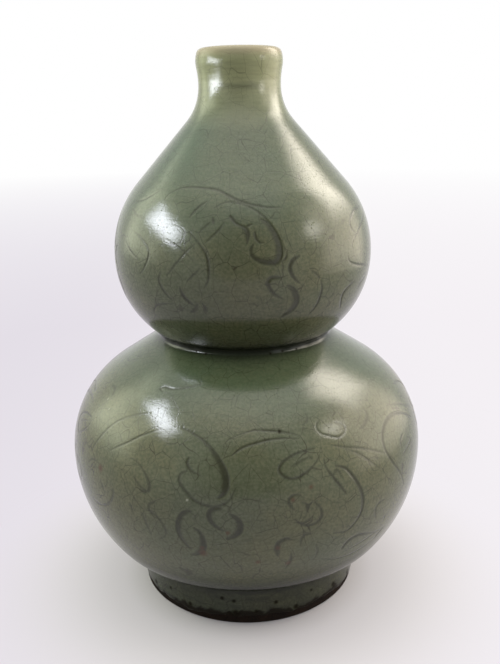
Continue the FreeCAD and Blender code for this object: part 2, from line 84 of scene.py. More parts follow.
def flatPanel(name, wide, tall, material):
    mesh = bpy.data.meshes.new(name)
    corners = [(-wide, -tall, 0), (wide, -tall, 0), (wide, tall, 0), (-wide, tall, 0)]
    mesh.from_pydata(corners, [], [(0, 1, 2, 3)])
    mesh.materials.append(material)
    return inScene(name, mesh)


# Camera, as the photograph was taken: a little above the shoulder, close by.
view = {"place": (3.12, -420.0, 270.0), "pitch": 16.19, "roll": -1.0227, "lens": 41.75,
        "film": 36, "nearest": 10}
camera = inScene("camera", bpy.data.cameras.new("camera"))
camera.data.lens = view["lens"]
camera.data.sensor_width = view["film"]
camera.data.clip_start = view["nearest"] * mm
camera.matrix_world = (
    Matrix.Translation(Vector(view["place"]) * mm)
    @ Matrix.Rotation(math.radians(90 - view["pitch"]), 4, "X")
    @ Matrix.Rotation(math.radians(view["roll"]), 4, "Z"))
bpy.context.scene.camera = camera
bpy.context.scene.view_settings.view_transform = "Standard"

# Floor and backdrop, in millimetres from the vase's axis. The floor is matt white near the vase,
# where it keeps the shadow, and passes into the backdrop's glow farther off. That glow is painted
# darker on the left, a painted shade, and a share of it stays over the shadow near the vase and
# lightens it, a painted light. Close to the foot, from touchTo in to touchFrom, the last of the
# backdrop's glow goes.
stage = {"backdrop": "FFFFFF", "nearRight": "F4F0F4", "nearLeft": "E4DFE7", "floor": "DAD8DA",
         "bounce": "A8A6A4", "ambient": 0.1, "ambientColour": "F1F2F4",
         "fadeFrom": 72.0, "fadeTo": 175.0, "fadeLeast": 0.35, "touchFrom": 50.0, "touchTo": 76.0,
         "leftEnd": -300, "rightEnd": 250, "farFrom": 600.0, "farTo": 3200.0,
         "halfWidth": 60000.0}


def seenRay(add):
    # 1 for rays from the eye, a reflection or through glass, and 0 for the light itself.
    path = add("LightPath").outputs
    either = add("Math", (path["Is Camera Ray"], path["Is Glossy Ray"]), "MAXIMUM")
    return add("Math", (either, path["Is Transmission Ray"]), "MAXIMUM")


smooth = {"interpolation_type": "SMOOTHSTEP"}
world = bpy.data.worlds.new("softRoom")
bpy.context.scene.world = world
add = emptyTree(world)
shown = add("Background", (linearColour(stage["backdrop"]), 1.0))
lighting = add("Background", (linearColour(stage["ambientColour"]), stage["ambient"]))
mixed = add("MixShader", (seenRay(add), lighting, shown))
add("OutputWorld", (mixed,))

floorMaterial = bpy.data.materials.new("matt white paper sweep")
add = emptyTree(floorMaterial)
place = add("TexCoord").outputs["Object"]
across = add("SeparateXYZ", (place,)).outputs["X"]
away = add("VectorMath", (place,), "LENGTH")
# a Map Range takes the value, the range that is used, and what its two ends become
# fadeLeast keeps a share of the glow over the shadow near the vase, which lightens it: painted
# light
fade = add("MapRange", (away, stage["fadeFrom"] * mm, stage["fadeTo"] * mm, stage["fadeLeast"]),
           **smooth)
touch = add("MapRange", (away, stage["touchFrom"] * mm, stage["touchTo"] * mm))
fade = add("Math", (fade, touch), "MULTIPLY")
shownFade = add("Math", (fade, seenRay(add)), "MULTIPLY")
paperColour = add("Mix", (seenRay(add), linearColour(stage["bounce"]),
                          linearColour(stage["floor"])), data_type="RGBA")
paper = add("BsdfDiffuse", (paperColour,))
# the glow is painted darker towards the left: painted shade
right = add("MapRange", (across, stage["leftEnd"] * mm, stage["rightEnd"] * mm), **smooth)
near = add("Mix", (right, linearColour(stage["nearLeft"]), linearColour(stage["nearRight"])),
           data_type="RGBA")
far = add("MapRange", (away, stage["farFrom"] * mm, stage["farTo"] * mm))
sweep = add("Mix", (far, near, linearColour(stage["backdrop"])), data_type="RGBA")
glow = add("Emission", (sweep, 1.0))
mixed = add("MixShader", (shownFade, paper, glow))
add("OutputMaterial", (mixed,))
floor = flatPanel("floor", stage["halfWidth"] * mm, stage["halfWidth"] * mm, floorMaterial)

# Lamps are soft panels that fade out towards their edges. Each has its place, what it aims at and
# its width and height in millimetres, its strength, where 1 is white, its colour, and the share of
# it that is still full. A lamp that only shows is seen in the gloss and sends no light to the matt
# colours. The nearer of two panels hides the other, so the window stands before its glow.
lampDefaults = {"tilt": 0, "square": True, "lights": False, "shows": True}
lamps = {
    "window": ((-186, -84, 289), (0, -56, 238), (195, 84), 22, "F2F6FF", 0.2, {"tilt": -16}),
    "windowGlow": ((-205, -58, 290), (0, 0, 235), (340, 220), 2.4, "F2F8EA", 0.05,
                   {"square": False}),
    "softLeft": ((-620, 80, 440), (0, 0, 210), (800, 800), 4.5, "F4F8E0", 0.25, {"lights": True}),
    "lampRight": ((290, 88, 455), (0, 60, 330), (270, 340), 11.5, "FFF6E8", 0.1, {}),
    "lampSmall": ((290, -155, 332), (0, -60, 230), (155, 140), 7.5, "FFFAF0", 0.1,
                  {"square": False}),
    "softRight": ((620, 75, 380), (0, 0, 200), (1000, 1000), 3.8, "FFF5E6", 0.3, {"lights": True}),
    "overhead": ((0, 0, 1000), (0, 0, 0), (2000, 2000), 2.3, "FFFDF6", 0.1,
                 {"square": False, "lights": True}),
    "front": ((0, -1500, 800), (0, 0, 150), (1600, 1000), 1.5, "FFFDF8", 0.5,
              {"lights": True, "shows": False}),
    "dimFront": ((0, -700, 300), (0, 0, 200), (1250, 1250), 0.5, "E8E6E0", 0.25,
                 {"square": False}),
}


def lampGlow(name, size, strength, colour, fadeFrom, square):
    material = bpy.data.materials.new(name)
    add = emptyTree(material)
    place = add("TexCoord").outputs["Object"]
    perHalf = tuple(2 / (side * mm) for side in size) + (0,)
    shares = add("VectorMath", (place, perHalf), "MULTIPLY")
    if square:
        sides = add("VectorMath", (shares,), "ABSOLUTE")
        sides = add("SeparateXYZ", (sides,)).outputs
        reach = add("Math", (sides["X"], sides["Y"]), "MAXIMUM")
    else:
        reach = add("VectorMath", (shares,), "LENGTH")
    full = add("MapRange", (reach, fadeFrom, 1.0, 1.0, 0.0), **smooth)
    glow = add("Emission", (linearColour(colour), strength))
    clear = add("BsdfTransparent")
    add("OutputMaterial", (add("MixShader", (full, clear, glow)),))
    return material


for name, (place, aim, size, strength, colour, fadeFrom, differs) in lamps.items():
    lamp = lampDefaults | differs
    wide, tall = (side * mm / 2 for side in size)
    panel = flatPanel(name, wide, tall, lampGlow(name, size, strength, colour, fadeFrom,
                                                 lamp["square"]))
    place, aim = Vector(place) * mm, Vector(aim) * mm
    facing = (aim - place).to_track_quat("-Z", "Y").to_matrix().to_4x4()
    tilt = Matrix.Rotation(math.radians(lamp["tilt"]), 4, "Z")
    panel.matrix_world = Matrix.Translation(place) @ facing @ tilt
    panel.visible_camera = False
    panel.visible_shadow = False
    panel.visible_glossy = lamp["shows"]
    panel.visible_diffuse = lamp["lights"]
print("camera, floor and lamps placed")

# The vase's outline at the glaze face, from the foot up, in millimetres. Each arc has its centre's
# distance from the axis, its centre's height, its radius, and the angles of its low and high ends.
# A hollow arc has a negative radius, and the runs between arcs are straight. At the waist the
# glaze has pooled, so its face lies about 0.8 mm further out there than an even coat would.
outline = {
    "glazeLine": (62.2, 6.6, 0.8, -90, 0),
    "footJoint": (64.5, 23.825, -1.5, 0, -76.75),
    "underside": (56.793, 56.551, 32.121, -76.75, -37.75),
    "lowerBelly": (18.497, 86.2, 80.553, -37.75, 0),
    "lowerShoulder": (43.755, 87.0, 55.295, 0, 57.54),
    "waistBelow": (49.9, 151.0, -2.0, 57.54, 0),
    "waistRing": (47.9, 151.2, 0.0, 0, 0),
    "waistAbove": (49.9, 151.35, -2.0, 0, -53.29),
    "upperBelly": (17.498, 194.8, 52.202, -53.29, 0),
    "upperShoulder": (12.995, 195.6, 56.705, 0, 41.41),
    "throat": (48.266, 281.8, -26.766, 41.41, 0),
    "neckFlare": (59.5, 282.6, -38.0, 0, -11.91),
    "lipBulge": (7.837, 293.5, 14.8, -11.91, 16.16),
    "lipOutside": (18.883, 296.7, 3.3, 16.16, 90),
    "lipInside": (18.883, 296.7, 3.3, 90, 196.16),
    "insideFloorRound": (58.24, 55.51, 23.71, -89.9, -37.8),
    "insideLowerBelly": (18.64, 86.2, 73.81, -37.8, 0),
    "insideShoulder": (43.755, 87.0, 55.295, 0, 60.08),
    "insideWaistLow": (49.15, 150.0, -2.0, 60.08, 0),
    "insideWaistHigh": (49.15, 150.8, -2.0, 0, -54.27),
    "insideUpperBelly": (17.498, 194.8, 52.202, -54.27, 0),
}
arcs = list(outline)
lowerArcs = arcs[:arcs.index("waistRing") + 1]
upperArcs = arcs[arcs.index("waistRing"):arcs.index("lipInside")]
insideArcs = arcs[arcs.index("insideFloorRound"):]
insideArcs += arcs[arcs.index("upperShoulder"):arcs.index("lipOutside")]
glazeThickness = 0.8
clayThickness = 5.0
# columns round a piece, how finely a cell can be quartered, the row spacing as a share of the
# bend's radius and its limits, and how it grows from the ends
net = {"columns": 272, "fineness": 4, "bendShare": 0.09, "narrowest": 0.3, "widest": 2.2,
       "endRow": 0.12, "endGrowth": 0.2, "arcStep": 0.05, "smallestGap": 0.1,
       "straightBend": 99.0, "backCoarser": 4.0}


def outlineRun(names, depth=0.0):
    # Points and bend radii along the named arcs, at a depth under the glaze face.
    run = []
    for name in names:
        centreX, centreZ, radius, low, high = outline[name]
        bend = radius - depth
        count = max(3, int(abs(math.radians(high - low) * bend) / net["arcStep"]))
        for angle in np.radians(np.linspace(low, high, count)):
            run.append((centreX + bend * math.cos(angle), centreZ + bend * math.sin(angle),
                        abs(bend)))
    full = [run[0]]
    for x, z, bend in run[1:]:  # the straight runs between arcs
        gap = math.dist((x, z), full[-1][:2])
        if gap > net["smallestGap"]:
            x0, z0 = full[-1][:2]
            steps = int(gap / net["arcStep"])
            full += [(x0 + (x - x0) * i / steps, z0 + (z - z0) * i / steps, net["straightBend"])
                     for i in range(1, steps)]
        full.append((x, z, bend))
    return full


def rowsAlong(run, fineness=1, coarser=1.0):
    # Rows along a run: closer where it bends tightly, and closest at its ends, where pieces meet.
    line = np.array(run)
    steps = np.hypot(*np.diff(line[:, :2], axis=0).T)
    length = np.concatenate(([0.0], np.cumsum(steps)))
    middle = (length[1:] + length[:-1]) / 2
    spacing = np.clip(line[1:, 2] * net["bendShare"], net["narrowest"], net["widest"])
    end = np.minimum(middle, length[-1] - middle)
    spacing = np.minimum(spacing, net["endRow"] + net["endGrowth"] * end) * coarser
    travelled = np.concatenate(([0.0], np.cumsum(steps / spacing)))
    count = max(1, round(travelled[-1])) * fineness
    where = np.linspace(0, travelled[-1], count + 1)
    return np.stack([np.interp(where, travelled, line[:, axis]) for axis in (0, 1)], axis=1)


def turned(radius, height, turn):
    # Turn 0 is the front, and grows towards the right. Millimetres and radians in, metres out.
    return radius * mm * math.sin(turn), -radius * mm * math.cos(turn), height * mm


def turnedRing(radius, height, columns):
    return [turned(radius, height, 2 * math.pi * column / columns) for column in range(columns)]


def latticeNet(rows, fineCells):
    # A turned surface of coarse cells, quartered twice where fineCells marks them. A cell with
    # finer neighbours becomes a fan of triangles, so that no gap opens.
    fineness = net["fineness"]
    columns, steps = net["columns"] * fineness, len(rows) - 1
    used = np.zeros((columns, steps + 1), bool)
    levels = []
    remaining = np.ones((columns // fineness, steps // fineness), bool)
    size = fineness
    while size:
        wanted = fineCells.reshape(columns // size, size, steps // size, size).any(axis=(1, 3))
        split = remaining & wanted if size > 1 else np.zeros_like(remaining)
        cells = np.argwhere(remaining & ~split) * size
        levels.append((size, cells))
        for across, up in ((0, 0), (size, 0), (size, size), (0, size)):
            used[(cells[:, 0] + across) % columns, cells[:, 1] + up] = True
        remaining = np.repeat(np.repeat(split, 2, axis=0), 2, axis=1)
        size //= 2
    number = np.full(used.shape, -1)
    order = np.argwhere(used)
    number[order[:, 0], order[:, 1]] = np.arange(len(order))
    number = number.tolist()
    unit = 2 * math.pi / columns
    points = [turned(rows[row][0], rows[row][1], column * unit) for column, row in order.tolist()]
    faces = []
    for size, cells in levels:
        for column, row in cells.tolist():
            ring = [(column + step, row) for step in range(size)]
            ring += [(column + size, row + step) for step in range(size)]
            ring += [(column + size - step, row + size) for step in range(size)]
            ring += [(column, row + size - step) for step in range(size)]
            corners = [number[across % columns][up] for across, up in ring]
            corners = [corner for corner in corners if corner >= 0]
            if len(corners) == 4:
                faces.append(corners)
                continue
            half = size // 2
            points.append(turned(*rows[row + half], (column + half) * unit))
            faces += [[len(points) - 1, corner, following]
                      for corner, following in zip(corners, corners[1:] + corners[:1])]
    edges = [[number[column][row] for column in range(0, columns, fineness)]
             for row in (0, steps)]
    return points, faces, edges


def addBack(points, faces, edges, backRows):
    # A plain back for a net, joined to it along both rims. Returns the rims' points.
    columns = net["columns"]
    start = len(points)
    for radius, height in backRows:
        points += turnedRing(radius, height, columns)
    rows = [list(range(start + row * columns, start + (row + 1) * columns))
            for row in range(len(backRows))]
    run = [edges[0]] + rows + [edges[1]]
    for low, high in zip(run, run[1:]):
        for column in range(columns):
            beside = (column + 1) % columns
            faces.append([low[column], high[column], high[beside], low[beside]])
    return set(edges[0] + edges[1] + rows[0] + rows[-1])


def turnedSolid(profile, columns):
    # A closed solid of revolution from a profile that starts and ends on the axis.
    points, faces, rings = [], [], []
    for radius, height in profile:
        if radius == 0:
            rings.append([len(points)] * columns)
            points.append((0.0, 0.0, height * mm))
        else:
            rings.append(list(range(len(points), len(points) + columns)))
            points += turnedRing(radius, height, columns)
    for low, high in zip(rings, rings[1:]):
        for column in range(columns):
            beside = (column + 1) % columns
            corners = [low[column], low[beside], high[beside], high[column]]
            faces.append(list(dict.fromkeys(corners)))
    return points, faces


def newPiece(name, points, faces, sharp=()):
    mesh = bpy.data.meshes.new(name)
    mesh.from_pydata(points, [], faces)
    mesh.polygons.foreach_set("use_smooth", [True] * len(mesh.polygons))
    if sharp:
        ends = np.empty(len(mesh.edges) * 2, int)
        mesh.edges.foreach_get("vertices", ends)
        inRim = np.isin(ends.reshape(-1, 2), list(sharp)).all(axis=1)
        mesh.attributes.new("sharp_edge", "BOOLEAN", "EDGE").data.foreach_set("value", inRim)
    mesh.update()
    return inScene(name, mesh)


def placesOn(piece):
    # Azimuth in degrees, height and radius in millimetres of every point of a piece.
    flat = np.empty(len(piece.data.vertices) * 3)
    piece.data.vertices.foreach_get("co", flat)
    x, y, z = flat.reshape(-1, 3).T
    return np.degrees(np.arctan2(x, -y)), z / mm, np.hypot(x, y) / mm


def storeShare(piece, name, values):
    attribute = piece.data.attributes.new(name, "FLOAT", "POINT")
    attribute.data.foreach_set("value", np.clip(values, 0, 1).astype(np.float32))


def seat(piece, slot, *nodes):
    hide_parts(*nodes)
    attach(piece, "root")
    triangles = sum(len(face.vertices) - 2 for face in piece.data.polygons)
    print(f"{piece.name}: {triangles} triangles")


# The scroll. Each cut has its widest width in millimetres, its depth as a share of the deepest,
# where along it the widest place lies, and its points, each an azimuth in degrees and a height in
# millimetres.
lowerScroll = {
    "leafTop": (1, 0.55, 0.5, [-55.7, 101, -54, 106, -51.7, 111.7, -48.9, 117.1, -46, 120.9,
        -42.1, 123.9, -38.3, 125.8, -34.8, 127]),
    "leafUnder": (0.8, 0.45, 0.4, [-45.4, 107.2, -42.3, 110.3, -38.4, 113.9, -35.2, 117.2,
        -31.9, 119.8, -28.4, 122.2]),
    "leafThick": (2.7, 1, 0.8, [-20.8, 124, -17.5, 122.9, -14.2, 121, -11.4, 118.6, -9, 115.2,
        -7.1, 111.2, -5.8, 107.1, -5.5, 102.8, -6, 98.7, -7.4, 96.2]),
    "leafFold": (1.1, 0.6, 0.35, [-16.8, 107.2, -18.6, 105.6, -19, 102.8, -18, 99.8, -16.2, 96.9,
        -14.1, 93.9, -11.3, 92.2, -8.5, 92, -5.8, 93.5, -3.9, 96.9, -3, 100.6]),
    "hook": (1.1, 0.7, 0.2, [-16.7, 112.7, -17.1, 110.6, -16.3, 108.6, -15, 107, -12.9, 106]),
    "smallLeaf": (1.2, 0.65, 0.75, [-36, 107.6, -33.5, 106.7, -31.4, 104.7, -29.7, 102.1,
        -28.3, 98.8, -28.3, 95.3, -29.9, 93.7, -31.4, 94.1]),
    "smallLeafVein": (0.7, 0.4, 0.5, [-34.2, 99.8, -32.6, 97.6, -30.7, 95.4, -28.9, 94.6]),
    "farCurl": (1.1, 0.45, 0.4, [-42.1, 89.8, -42.7, 84.6, -45.5, 78.7, -50, 75.2, -53.9, 75.1,
        -56.1, 77.6]),
    "farCurlVein": (0.8, 0.35, 0.5, [-48.4, 90.4, -47.2, 87.3, -46.5, 83.3]),
    "farMark": (0.8, 0.3, 0.5, [-56.7, 95, -54.1, 98, -51, 99]),
    "squiggleA": (1, 0.5, 0.15, [-26.6, 89.9, -28.3, 87.6, -28.1, 84.5, -26.5, 83, -24.7, 80.4,
        -23.5, 76.3, -24, 71.9, -26.3, 69]),
    "squiggleB": (0.9, 0.4, 0.3, [-30.8, 81.6, -30, 76.9, -29.1, 73.2, -28.6, 70.4]),
    "squiggleC": (0.8, 0.3, 0.3, [-35.4, 85.3, -34.6, 82.4, -34.1, 79.9]),
    "commaLeft": (2, 0.9, 0.4, [-15.4, 88.6, -17.7, 86.8, -19, 82.9, -19.5, 77.7, -18.9, 73.3,
        -17.9, 70, -16.3, 66.7]),
    "commaRight": (2.4, 1, 0.6, [-14.7, 79.7, -13.2, 77.7, -12.4, 73.3, -12.5, 68.3, -14.1, 64.7,
        -16.2, 62.8]),
    "hornLeft": (1.9, 0.9, 0.4, [-6.9, 91.1, -8.8, 90.9, -10.2, 88.5, -10, 84.9, -8.7, 81.8,
        -6.5, 79.3]),
    "hornRight": (2.4, 1, 0.55, [-4.6, 88.3, -2.9, 86.5, -1.8, 83.3, -2, 79.5, -3.3, 76.7,
        -5.5, 74.8]),
    "shoulderCurl": (1.1, 0.4, 0.3, [-34.8, 134.8, -36.7, 135.6, -35.2, 136.4, -30.9, 136.3,
        -27, 136.9, -23.1, 137.9, -19, 139.1]),
    "shoulderTick": (1.2, 0.35, 0.6, [-64.3, 130, -60.8, 130.1, -59.2, 128.6, -58.4, 127.1]),
    "longLeafTop": (0.9, 0.75, 0.85, [-5.5, 118.3, -5.9, 119.6, -5.3, 120.8, -3.2, 122.1,
        -0.7, 123.4, 1.9, 124.1, 5.1, 124.1, 8.2, 123.7, 10.8, 123.2]),
    "longLeafTip": (0.7, 0.5, 0.1, [10.8, 123.2, 13.9, 122.3, 17.2, 120.7]),
    "longLeafUnder": (1, 0.7, 0.4, [-3.9, 115, -1.9, 117, 0.5, 118.5, 3.5, 119.5, 7.3, 120.4,
        11.7, 120.6, 15.8, 120]),
    "petal": (1, 0.75, 0.45, [21.1, 115.1, 18.5, 114.8, 15.6, 114.2, 13, 113, 10.8, 111.2,
        9.4, 108.5, 10.1, 105.8, 12, 103.9, 14, 103.5, 16.2, 104.7, 18.8, 107.1, 20.9, 109.6,
        22.1, 112.1]),
    "petalVein": (0.6, 0.35, 0.4, [12.9, 108.8, 14.5, 109.8, 16.7, 111, 19.1, 112.2]),
    "petalDot": (0.8, 0.5, 0.5, [18.7, 112.3, 19.5, 111]),
    "stalkShort": (1.1, 0.75, 0.6, [23.3, 110.3, 23.2, 107.2, 24.1, 103.8, 25.7, 99.5, 27.4, 95.5,
        29.1, 91.2]),
    "bigArc": (1.4, 0.8, 0.3, [26.6, 105.7, 29.2, 103.9, 30.9, 100.8, 32.7, 96.1, 34.3, 90.7,
        35.1, 85.4, 35, 79.9, 33.8, 75.5, 31.9, 71.9, 29.5, 69.9, 25.6, 71.2]),
    "innerSpray": (0.7, 0.3, 0.5, [24.5, 100.9, 26.7, 103.8, 28.3, 99.5]),
    "budTop": (1, 0.6, 0.4, [15.1, 95.5, 13.1, 95.9, 11.6, 94.1, 11.9, 91, 13.6, 88.1]),
    "budNotch": (1.2, 0.75, 0.6, [15.6, 91.9, 16.7, 90.3, 16.9, 86.6]),
    "budNotchB": (0.8, 0.6, 0.5, [18.2, 91.1, 17.2, 89.9, 17, 87.6]),
    "budRound": (1.2, 0.65, 0.55, [18.8, 91.2, 20.5, 88, 21.2, 84, 20.2, 80.6, 18, 79.2,
        15.3, 80.4, 13, 84]),
    "budInner": (0.9, 0.45, 0.5, [14.2, 81, 16.5, 81.6, 18.5, 83.9]),
    "rightArch": (1.5, 0.7, 0.3, [70, 108.5, 64.2, 113.8, 57.7, 116.4, 52, 115.8, 48.3, 112.8,
        46.7, 108.8, 46.8, 103.8, 48.8, 97.6, 51.8, 91.4, 54.6, 84.9, 56.4, 79.4]),
    "rightArchVein": (1.1, 0.5, 0.5, [59, 106, 56, 103.6, 56.1, 99.9]),
    "rightArchVeinB": (1, 0.5, 0.5, [64.3, 100, 59.8, 98, 55.4, 96.5]),
    "stem": (0.9, 0.45, 0.5, [26.2, 115.2, 30.4, 112.8, 35.3, 110.6, 39.7, 108.1, 46.1, 103.2]),
    "stemLow": (0.7, 0.35, 0.5, [30.9, 111.8, 34.8, 108.5, 38.3, 103.7, 42.2, 97.8]),
    "lowLeafTop": (1.7, 0.7, 0.2, [30.1, 58.7, 31, 61.6, 32.9, 63.6, 36.1, 63.7, 43.5, 59.7]),
    "lowLeafUnder": (0.9, 0.45, 0.5, [31.8, 55.4, 35.6, 56.5, 39.3, 57.6, 43.2, 58.8, 47.9, 59.4]),
    "lowLeafEdge": (1.4, 0.6, 0.6, [45.2, 53.3, 46.8, 56.1, 49, 58.7]),
    "lowStem": (0.9, 0.4, 0.5, [22.9, 55.6, 27.8, 52.2, 32.9, 50.8, 37.2, 50.8, 41.5, 52.1,
        45.6, 53.7]),
    "curlLow": (1.8, 0.8, 0.55, [12.8, 72.2, 10.9, 73.3, 8.9, 71.6, 8.2, 67.8, 8.8, 63.1]),
    "curlLowTop": (1, 0.55, 0.5, [18.5, 73.8, 16.7, 74.3, 15.4, 72.3, 15.3, 67.7]),
    "curlLowTail": (1.1, 0.6, 0.5, [12.6, 64.1, 12.7, 59.2, 11.7, 53.6]),
    "curlLowRight": (0.9, 0.4, 0.5, [20.1, 67, 21, 61.3, 20.2, 56]),
    "sideCurl": (1, 0.4, 0.4, [45.1, 79, 41.8, 78.4, 40.9, 74.6, 42.2, 69.2]),
    "sideCurlB": (0.9, 0.35, 0.5, [46.8, 68.7, 46.9, 64.2]),
    "glintRing": (1.1, 0.3, 0.5, [25.2, 125.3, 23.4, 123.3, 24, 120.5, 26.7, 118.6, 30, 117.2,
        32.9, 118.8, 33.1, 121.3, 30.3, 123.3]),
    "glintCurl": (1.2, 0.4, 0.5, [44.6, 124.7, 44.8, 122, 42, 119.1, 38.4, 117.6]),
    "shoulderArc": (0.8, 0.3, 0.5, [21.1, 128.6, 21.2, 126.4, 19.1, 124.5]),
    "shoulderLine": (0.8, 0.3, 0.5, [56.6, 121.1, 65.7, 117.6, 76.4, 109.5]),
}
upperScroll = {
    "garland": (1.1, 0.55, 0.6, [-38.5, 228.4, -37.6, 230.7, -35.2, 232.5, -31, 234, -25.3, 234.5,
        -19.7, 234.3, -14.3, 233.9, -10.1, 233, -5.5, 230.9, -1.8, 229.2, 2.7, 227.6, 7.5, 226.4,
        12.7, 225.6, 18.2, 225.2]),
    "garlandFold": (1, 0.5, 0.4, [-22.3, 221.7, -20.8, 223.9, -18.5, 226.4, -15.6, 228.6]),
    "garlandUnder": (0.8, 0.4, 0.5, [-11.9, 225.8, -7.2, 228.1, -2.2, 228.1, 2.6, 226.5,
        7.2, 223.8, 11.1, 219.8, 14.3, 214.3, 16.3, 208.8, 17.1, 203.8]),
    "heart": (2.4, 0.95, 0.42, [8.2, 220.5, 11, 218.5, 12.8, 215.3, 14.1, 211.7, 14.8, 208,
        14.7, 204.4, 13.1, 201.3, 10, 201.3, 6.5, 202.4, 4.1, 204.5, 3.5, 207.3, 4.4, 209.5]),
    "heartHook": (1, 0.7, 0.3, [5.4, 214.9, 5.7, 212.1, 7.2, 210.4, 8.8, 210.5]),
    "heartTip": (0.9, 0.6, 0.5, [15.1, 201.1, 17, 202.7, 17.8, 206]),
    "tail": (1.2, 0.75, 0.15, [-4.5, 222.1, -2.8, 219.7, -0.9, 218.4, 1.1, 217.8]),
    "tailFoot": (1.7, 0.85, 0.6, [-1.8, 218.4, 0.7, 217.5, 2.4, 215, 2.1, 210.4]),
    "tailArm": (0.8, 0.6, 0.5, [0.7, 217.3, 2.7, 217.8, 4.4, 218.7]),
    "hornSmall": (1.6, 0.85, 0.4, [22.7, 203.2, 20.1, 201.6, 18.7, 198.5, 19.1, 195.6, 20.8, 192.5,
        22.8, 190.3]),
    "commaUpper": (1.4, 0.8, 0.35, [15, 193.8, 11.4, 193.9, 9.7, 191.8, 10.3, 189.2, 12.3, 186,
        16.2, 182.9]),
    "curlUpper": (2.4, 1, 0.5, [17.8, 189.7, 19.9, 187.7, 21.8, 183.4, 21.7, 179.3, 19.8, 176.3,
        16.6, 173.4]),
    "sickle": (1.1, 0.7, 0.5, [32.6, 190.4, 33.6, 186.2, 33.1, 181.1, 31.8, 176.5, 29.2, 172.6]),
    "sickleThin": (0.6, 0.35, 0.5, [27.8, 196, 30.2, 193.7, 32.2, 191]),
    "rightLeaf": (1, 0.6, 0.5, [71.8, 220.8, 61.9, 219.9, 56.3, 217.2, 53.8, 214.4, 54.1, 211.7,
        56.8, 209.3]),
    "rightLeafEdge": (0.9, 0.5, 0.5, [78, 218.7, 70.4, 215.2, 63.1, 211.8, 56.8, 208.4,
        52.7, 205.6, 51.8, 202.8]),
    "rightLeafBase": (1, 0.5, 0.4, [48.3, 199.5, 49.7, 196.3, 56.5, 193.4, 68.4, 190.7]),
    "sweep": (1.4, 0.7, 0.6, [55, 185.1, 50.2, 183.4, 47.4, 180.6, 47.5, 176.7, 49.4, 172.1]),
    "sweepSide": (1, 0.5, 0.5, [68.3, 185.3, 62.5, 183, 60.5, 179.7]),
    "leftLeaf": (0.9, 0.7, 0.6, [-21.7, 215.1, -18.8, 212.3, -16.1, 208.8, -14.2, 205.8,
        -13.1, 201.9, -12.9, 197.2, -13.3, 192.9, -15.1, 189.4]),
    "leftLeafBar": (0.7, 0.5, 0.5, [-14.8, 206.2, -13.2, 206.4]),
    "farLine": (0.9, 0.55, 0.5, [-59.3, 207.7, -55.7, 204.6, -52, 202.1, -47.8, 200.2]),
    "farLeaf": (1, 0.6, 0.5, [-52.5, 212.6, -47.8, 211.1, -43.9, 208.7, -41.3, 206, -40.6, 202.9,
        -41.9, 198.9, -44.2, 195.1, -46.7, 192.7]),
    "farTop": (1, 0.45, 0.5, [-60.7, 222.7, -55.8, 220.8, -50.9, 219.7, -46.9, 219.4]),
    "farTwig": (0.9, 0.35, 0.5, [-60, 226.2, -53, 227.9, -48.9, 230, -44.6, 232.3]),
    "crossA": (0.6, 0.35, 0.5, [-32.1, 211, -27.5, 208.9, -23.2, 206, -19.3, 202.3]),
    "crossB": (0.7, 0.4, 0.5, [-18.9, 209.7, -22.6, 205.6, -26.7, 200.1, -31.3, 193.9]),
    "spotStroke": (1.1, 0.5, 0.5, [-12.1, 221.5, -11.5, 219.1]),
    "footLeft": (1, 0.65, 0.5, [-34.3, 195.5, -35.4, 191.4, -34.2, 187.5, -32.2, 184.2,
        -30, 181.6]),
    "footMiddle": (1.3, 0.85, 0.55, [-25.6, 189.1, -24.8, 185.7, -23, 182.8, -20.6, 180.4]),
    "footCurl": (0.9, 0.55, 0.6, [-29.6, 179.9, -35.6, 179, -40.4, 176.8, -43.8, 173]),
    "footBlot": (1.4, 0.6, 0.5, [-22.4, 176.2, -19.7, 178.1, -18.7, 180.7]),
    "footBlotRight": (1.3, 0.65, 0.6, [-16.6, 181.7, -15.4, 179.2, -15.5, 176.5]),
    "twigA": (0.6, 0.35, 0.5, [-22.1, 192.4, -19, 195.5, -16.4, 198.5]),
    "twigB": (0.6, 0.35, 0.5, [-14.5, 210.4, -11.8, 213.2, -9.1, 216.3, -7.1, 219.8]),
    "twigC": (0.6, 0.35, 0.5, [-17.2, 215.2, -15, 217.5, -12.9, 219.7]),
}
# the motifs that the sides carry as well; the whole scroll is on the front and the back
sideLower = ["leafThick", "leafFold", "hook", "commaLeft", "commaRight", "hornLeft", "hornRight",
             "longLeafTop", "longLeafUnder", "petal", "petalVein", "budTop", "budNotch",
             "budRound", "curlLow", "curlLowTail"]
sideUpper = ["heart", "heartHook", "heartTip", "tail", "tailFoot", "tailArm", "hornSmall",
             "commaUpper", "curlUpper"]
cutting = {"depth": 0.3, "wider": 1.25, "step": 0.5, "broadFrom": 1.5, "margin": 0.5,
           "thinnest": 0.9, "endWidth": 0.3, "endDepth": 0.6, "swellPower": 0.7, "belly": 80,
           "lowerTurns": {"side": (96, -84), "all": (0, 180)},
           "upperTurns": {"side": (89, -91), "all": (0, 180)}}
# across a cut, in half widths of it: where each part of its section starts and ends
section = {"evenFall": (0.35, 1.15), "slopeRise": (-1.1, 0.75), "wallFall": (0.8, 1.1),
           "burrRise": (0.95, 1.3), "burrFall": (1.3, 1.9), "gatherFall": (0.4, 2.0)}
gatherLeast = 0.42  # the shallowest cut's share of gathered glaze


def smoothPath(points, step):
    # A smooth path through the points, with steps of about the given length on the belly.
    given = np.array(points, float).reshape(-1, 2)
    given = np.vstack((2 * given[0] - given[1], given, 2 * given[-1] - given[-2]))
    perDegree = math.radians(cutting["belly"])
    path = []
    for before, start, end, after in zip(given, given[1:], given[2:], given[3:]):
        reach = math.hypot((end[0] - start[0]) * perDegree, end[1] - start[1])
        for t in np.arange(0, 1, 1 / max(2, math.ceil(reach / step))):
            path.append(0.5 * (2 * start + (end - before) * t
                               + (2 * before - 5 * start + 4 * end - after) * t ** 2
                               + (3 * start - before - 3 * end + after) * t ** 3))
    path.append(given[-2])
    return np.array(path)


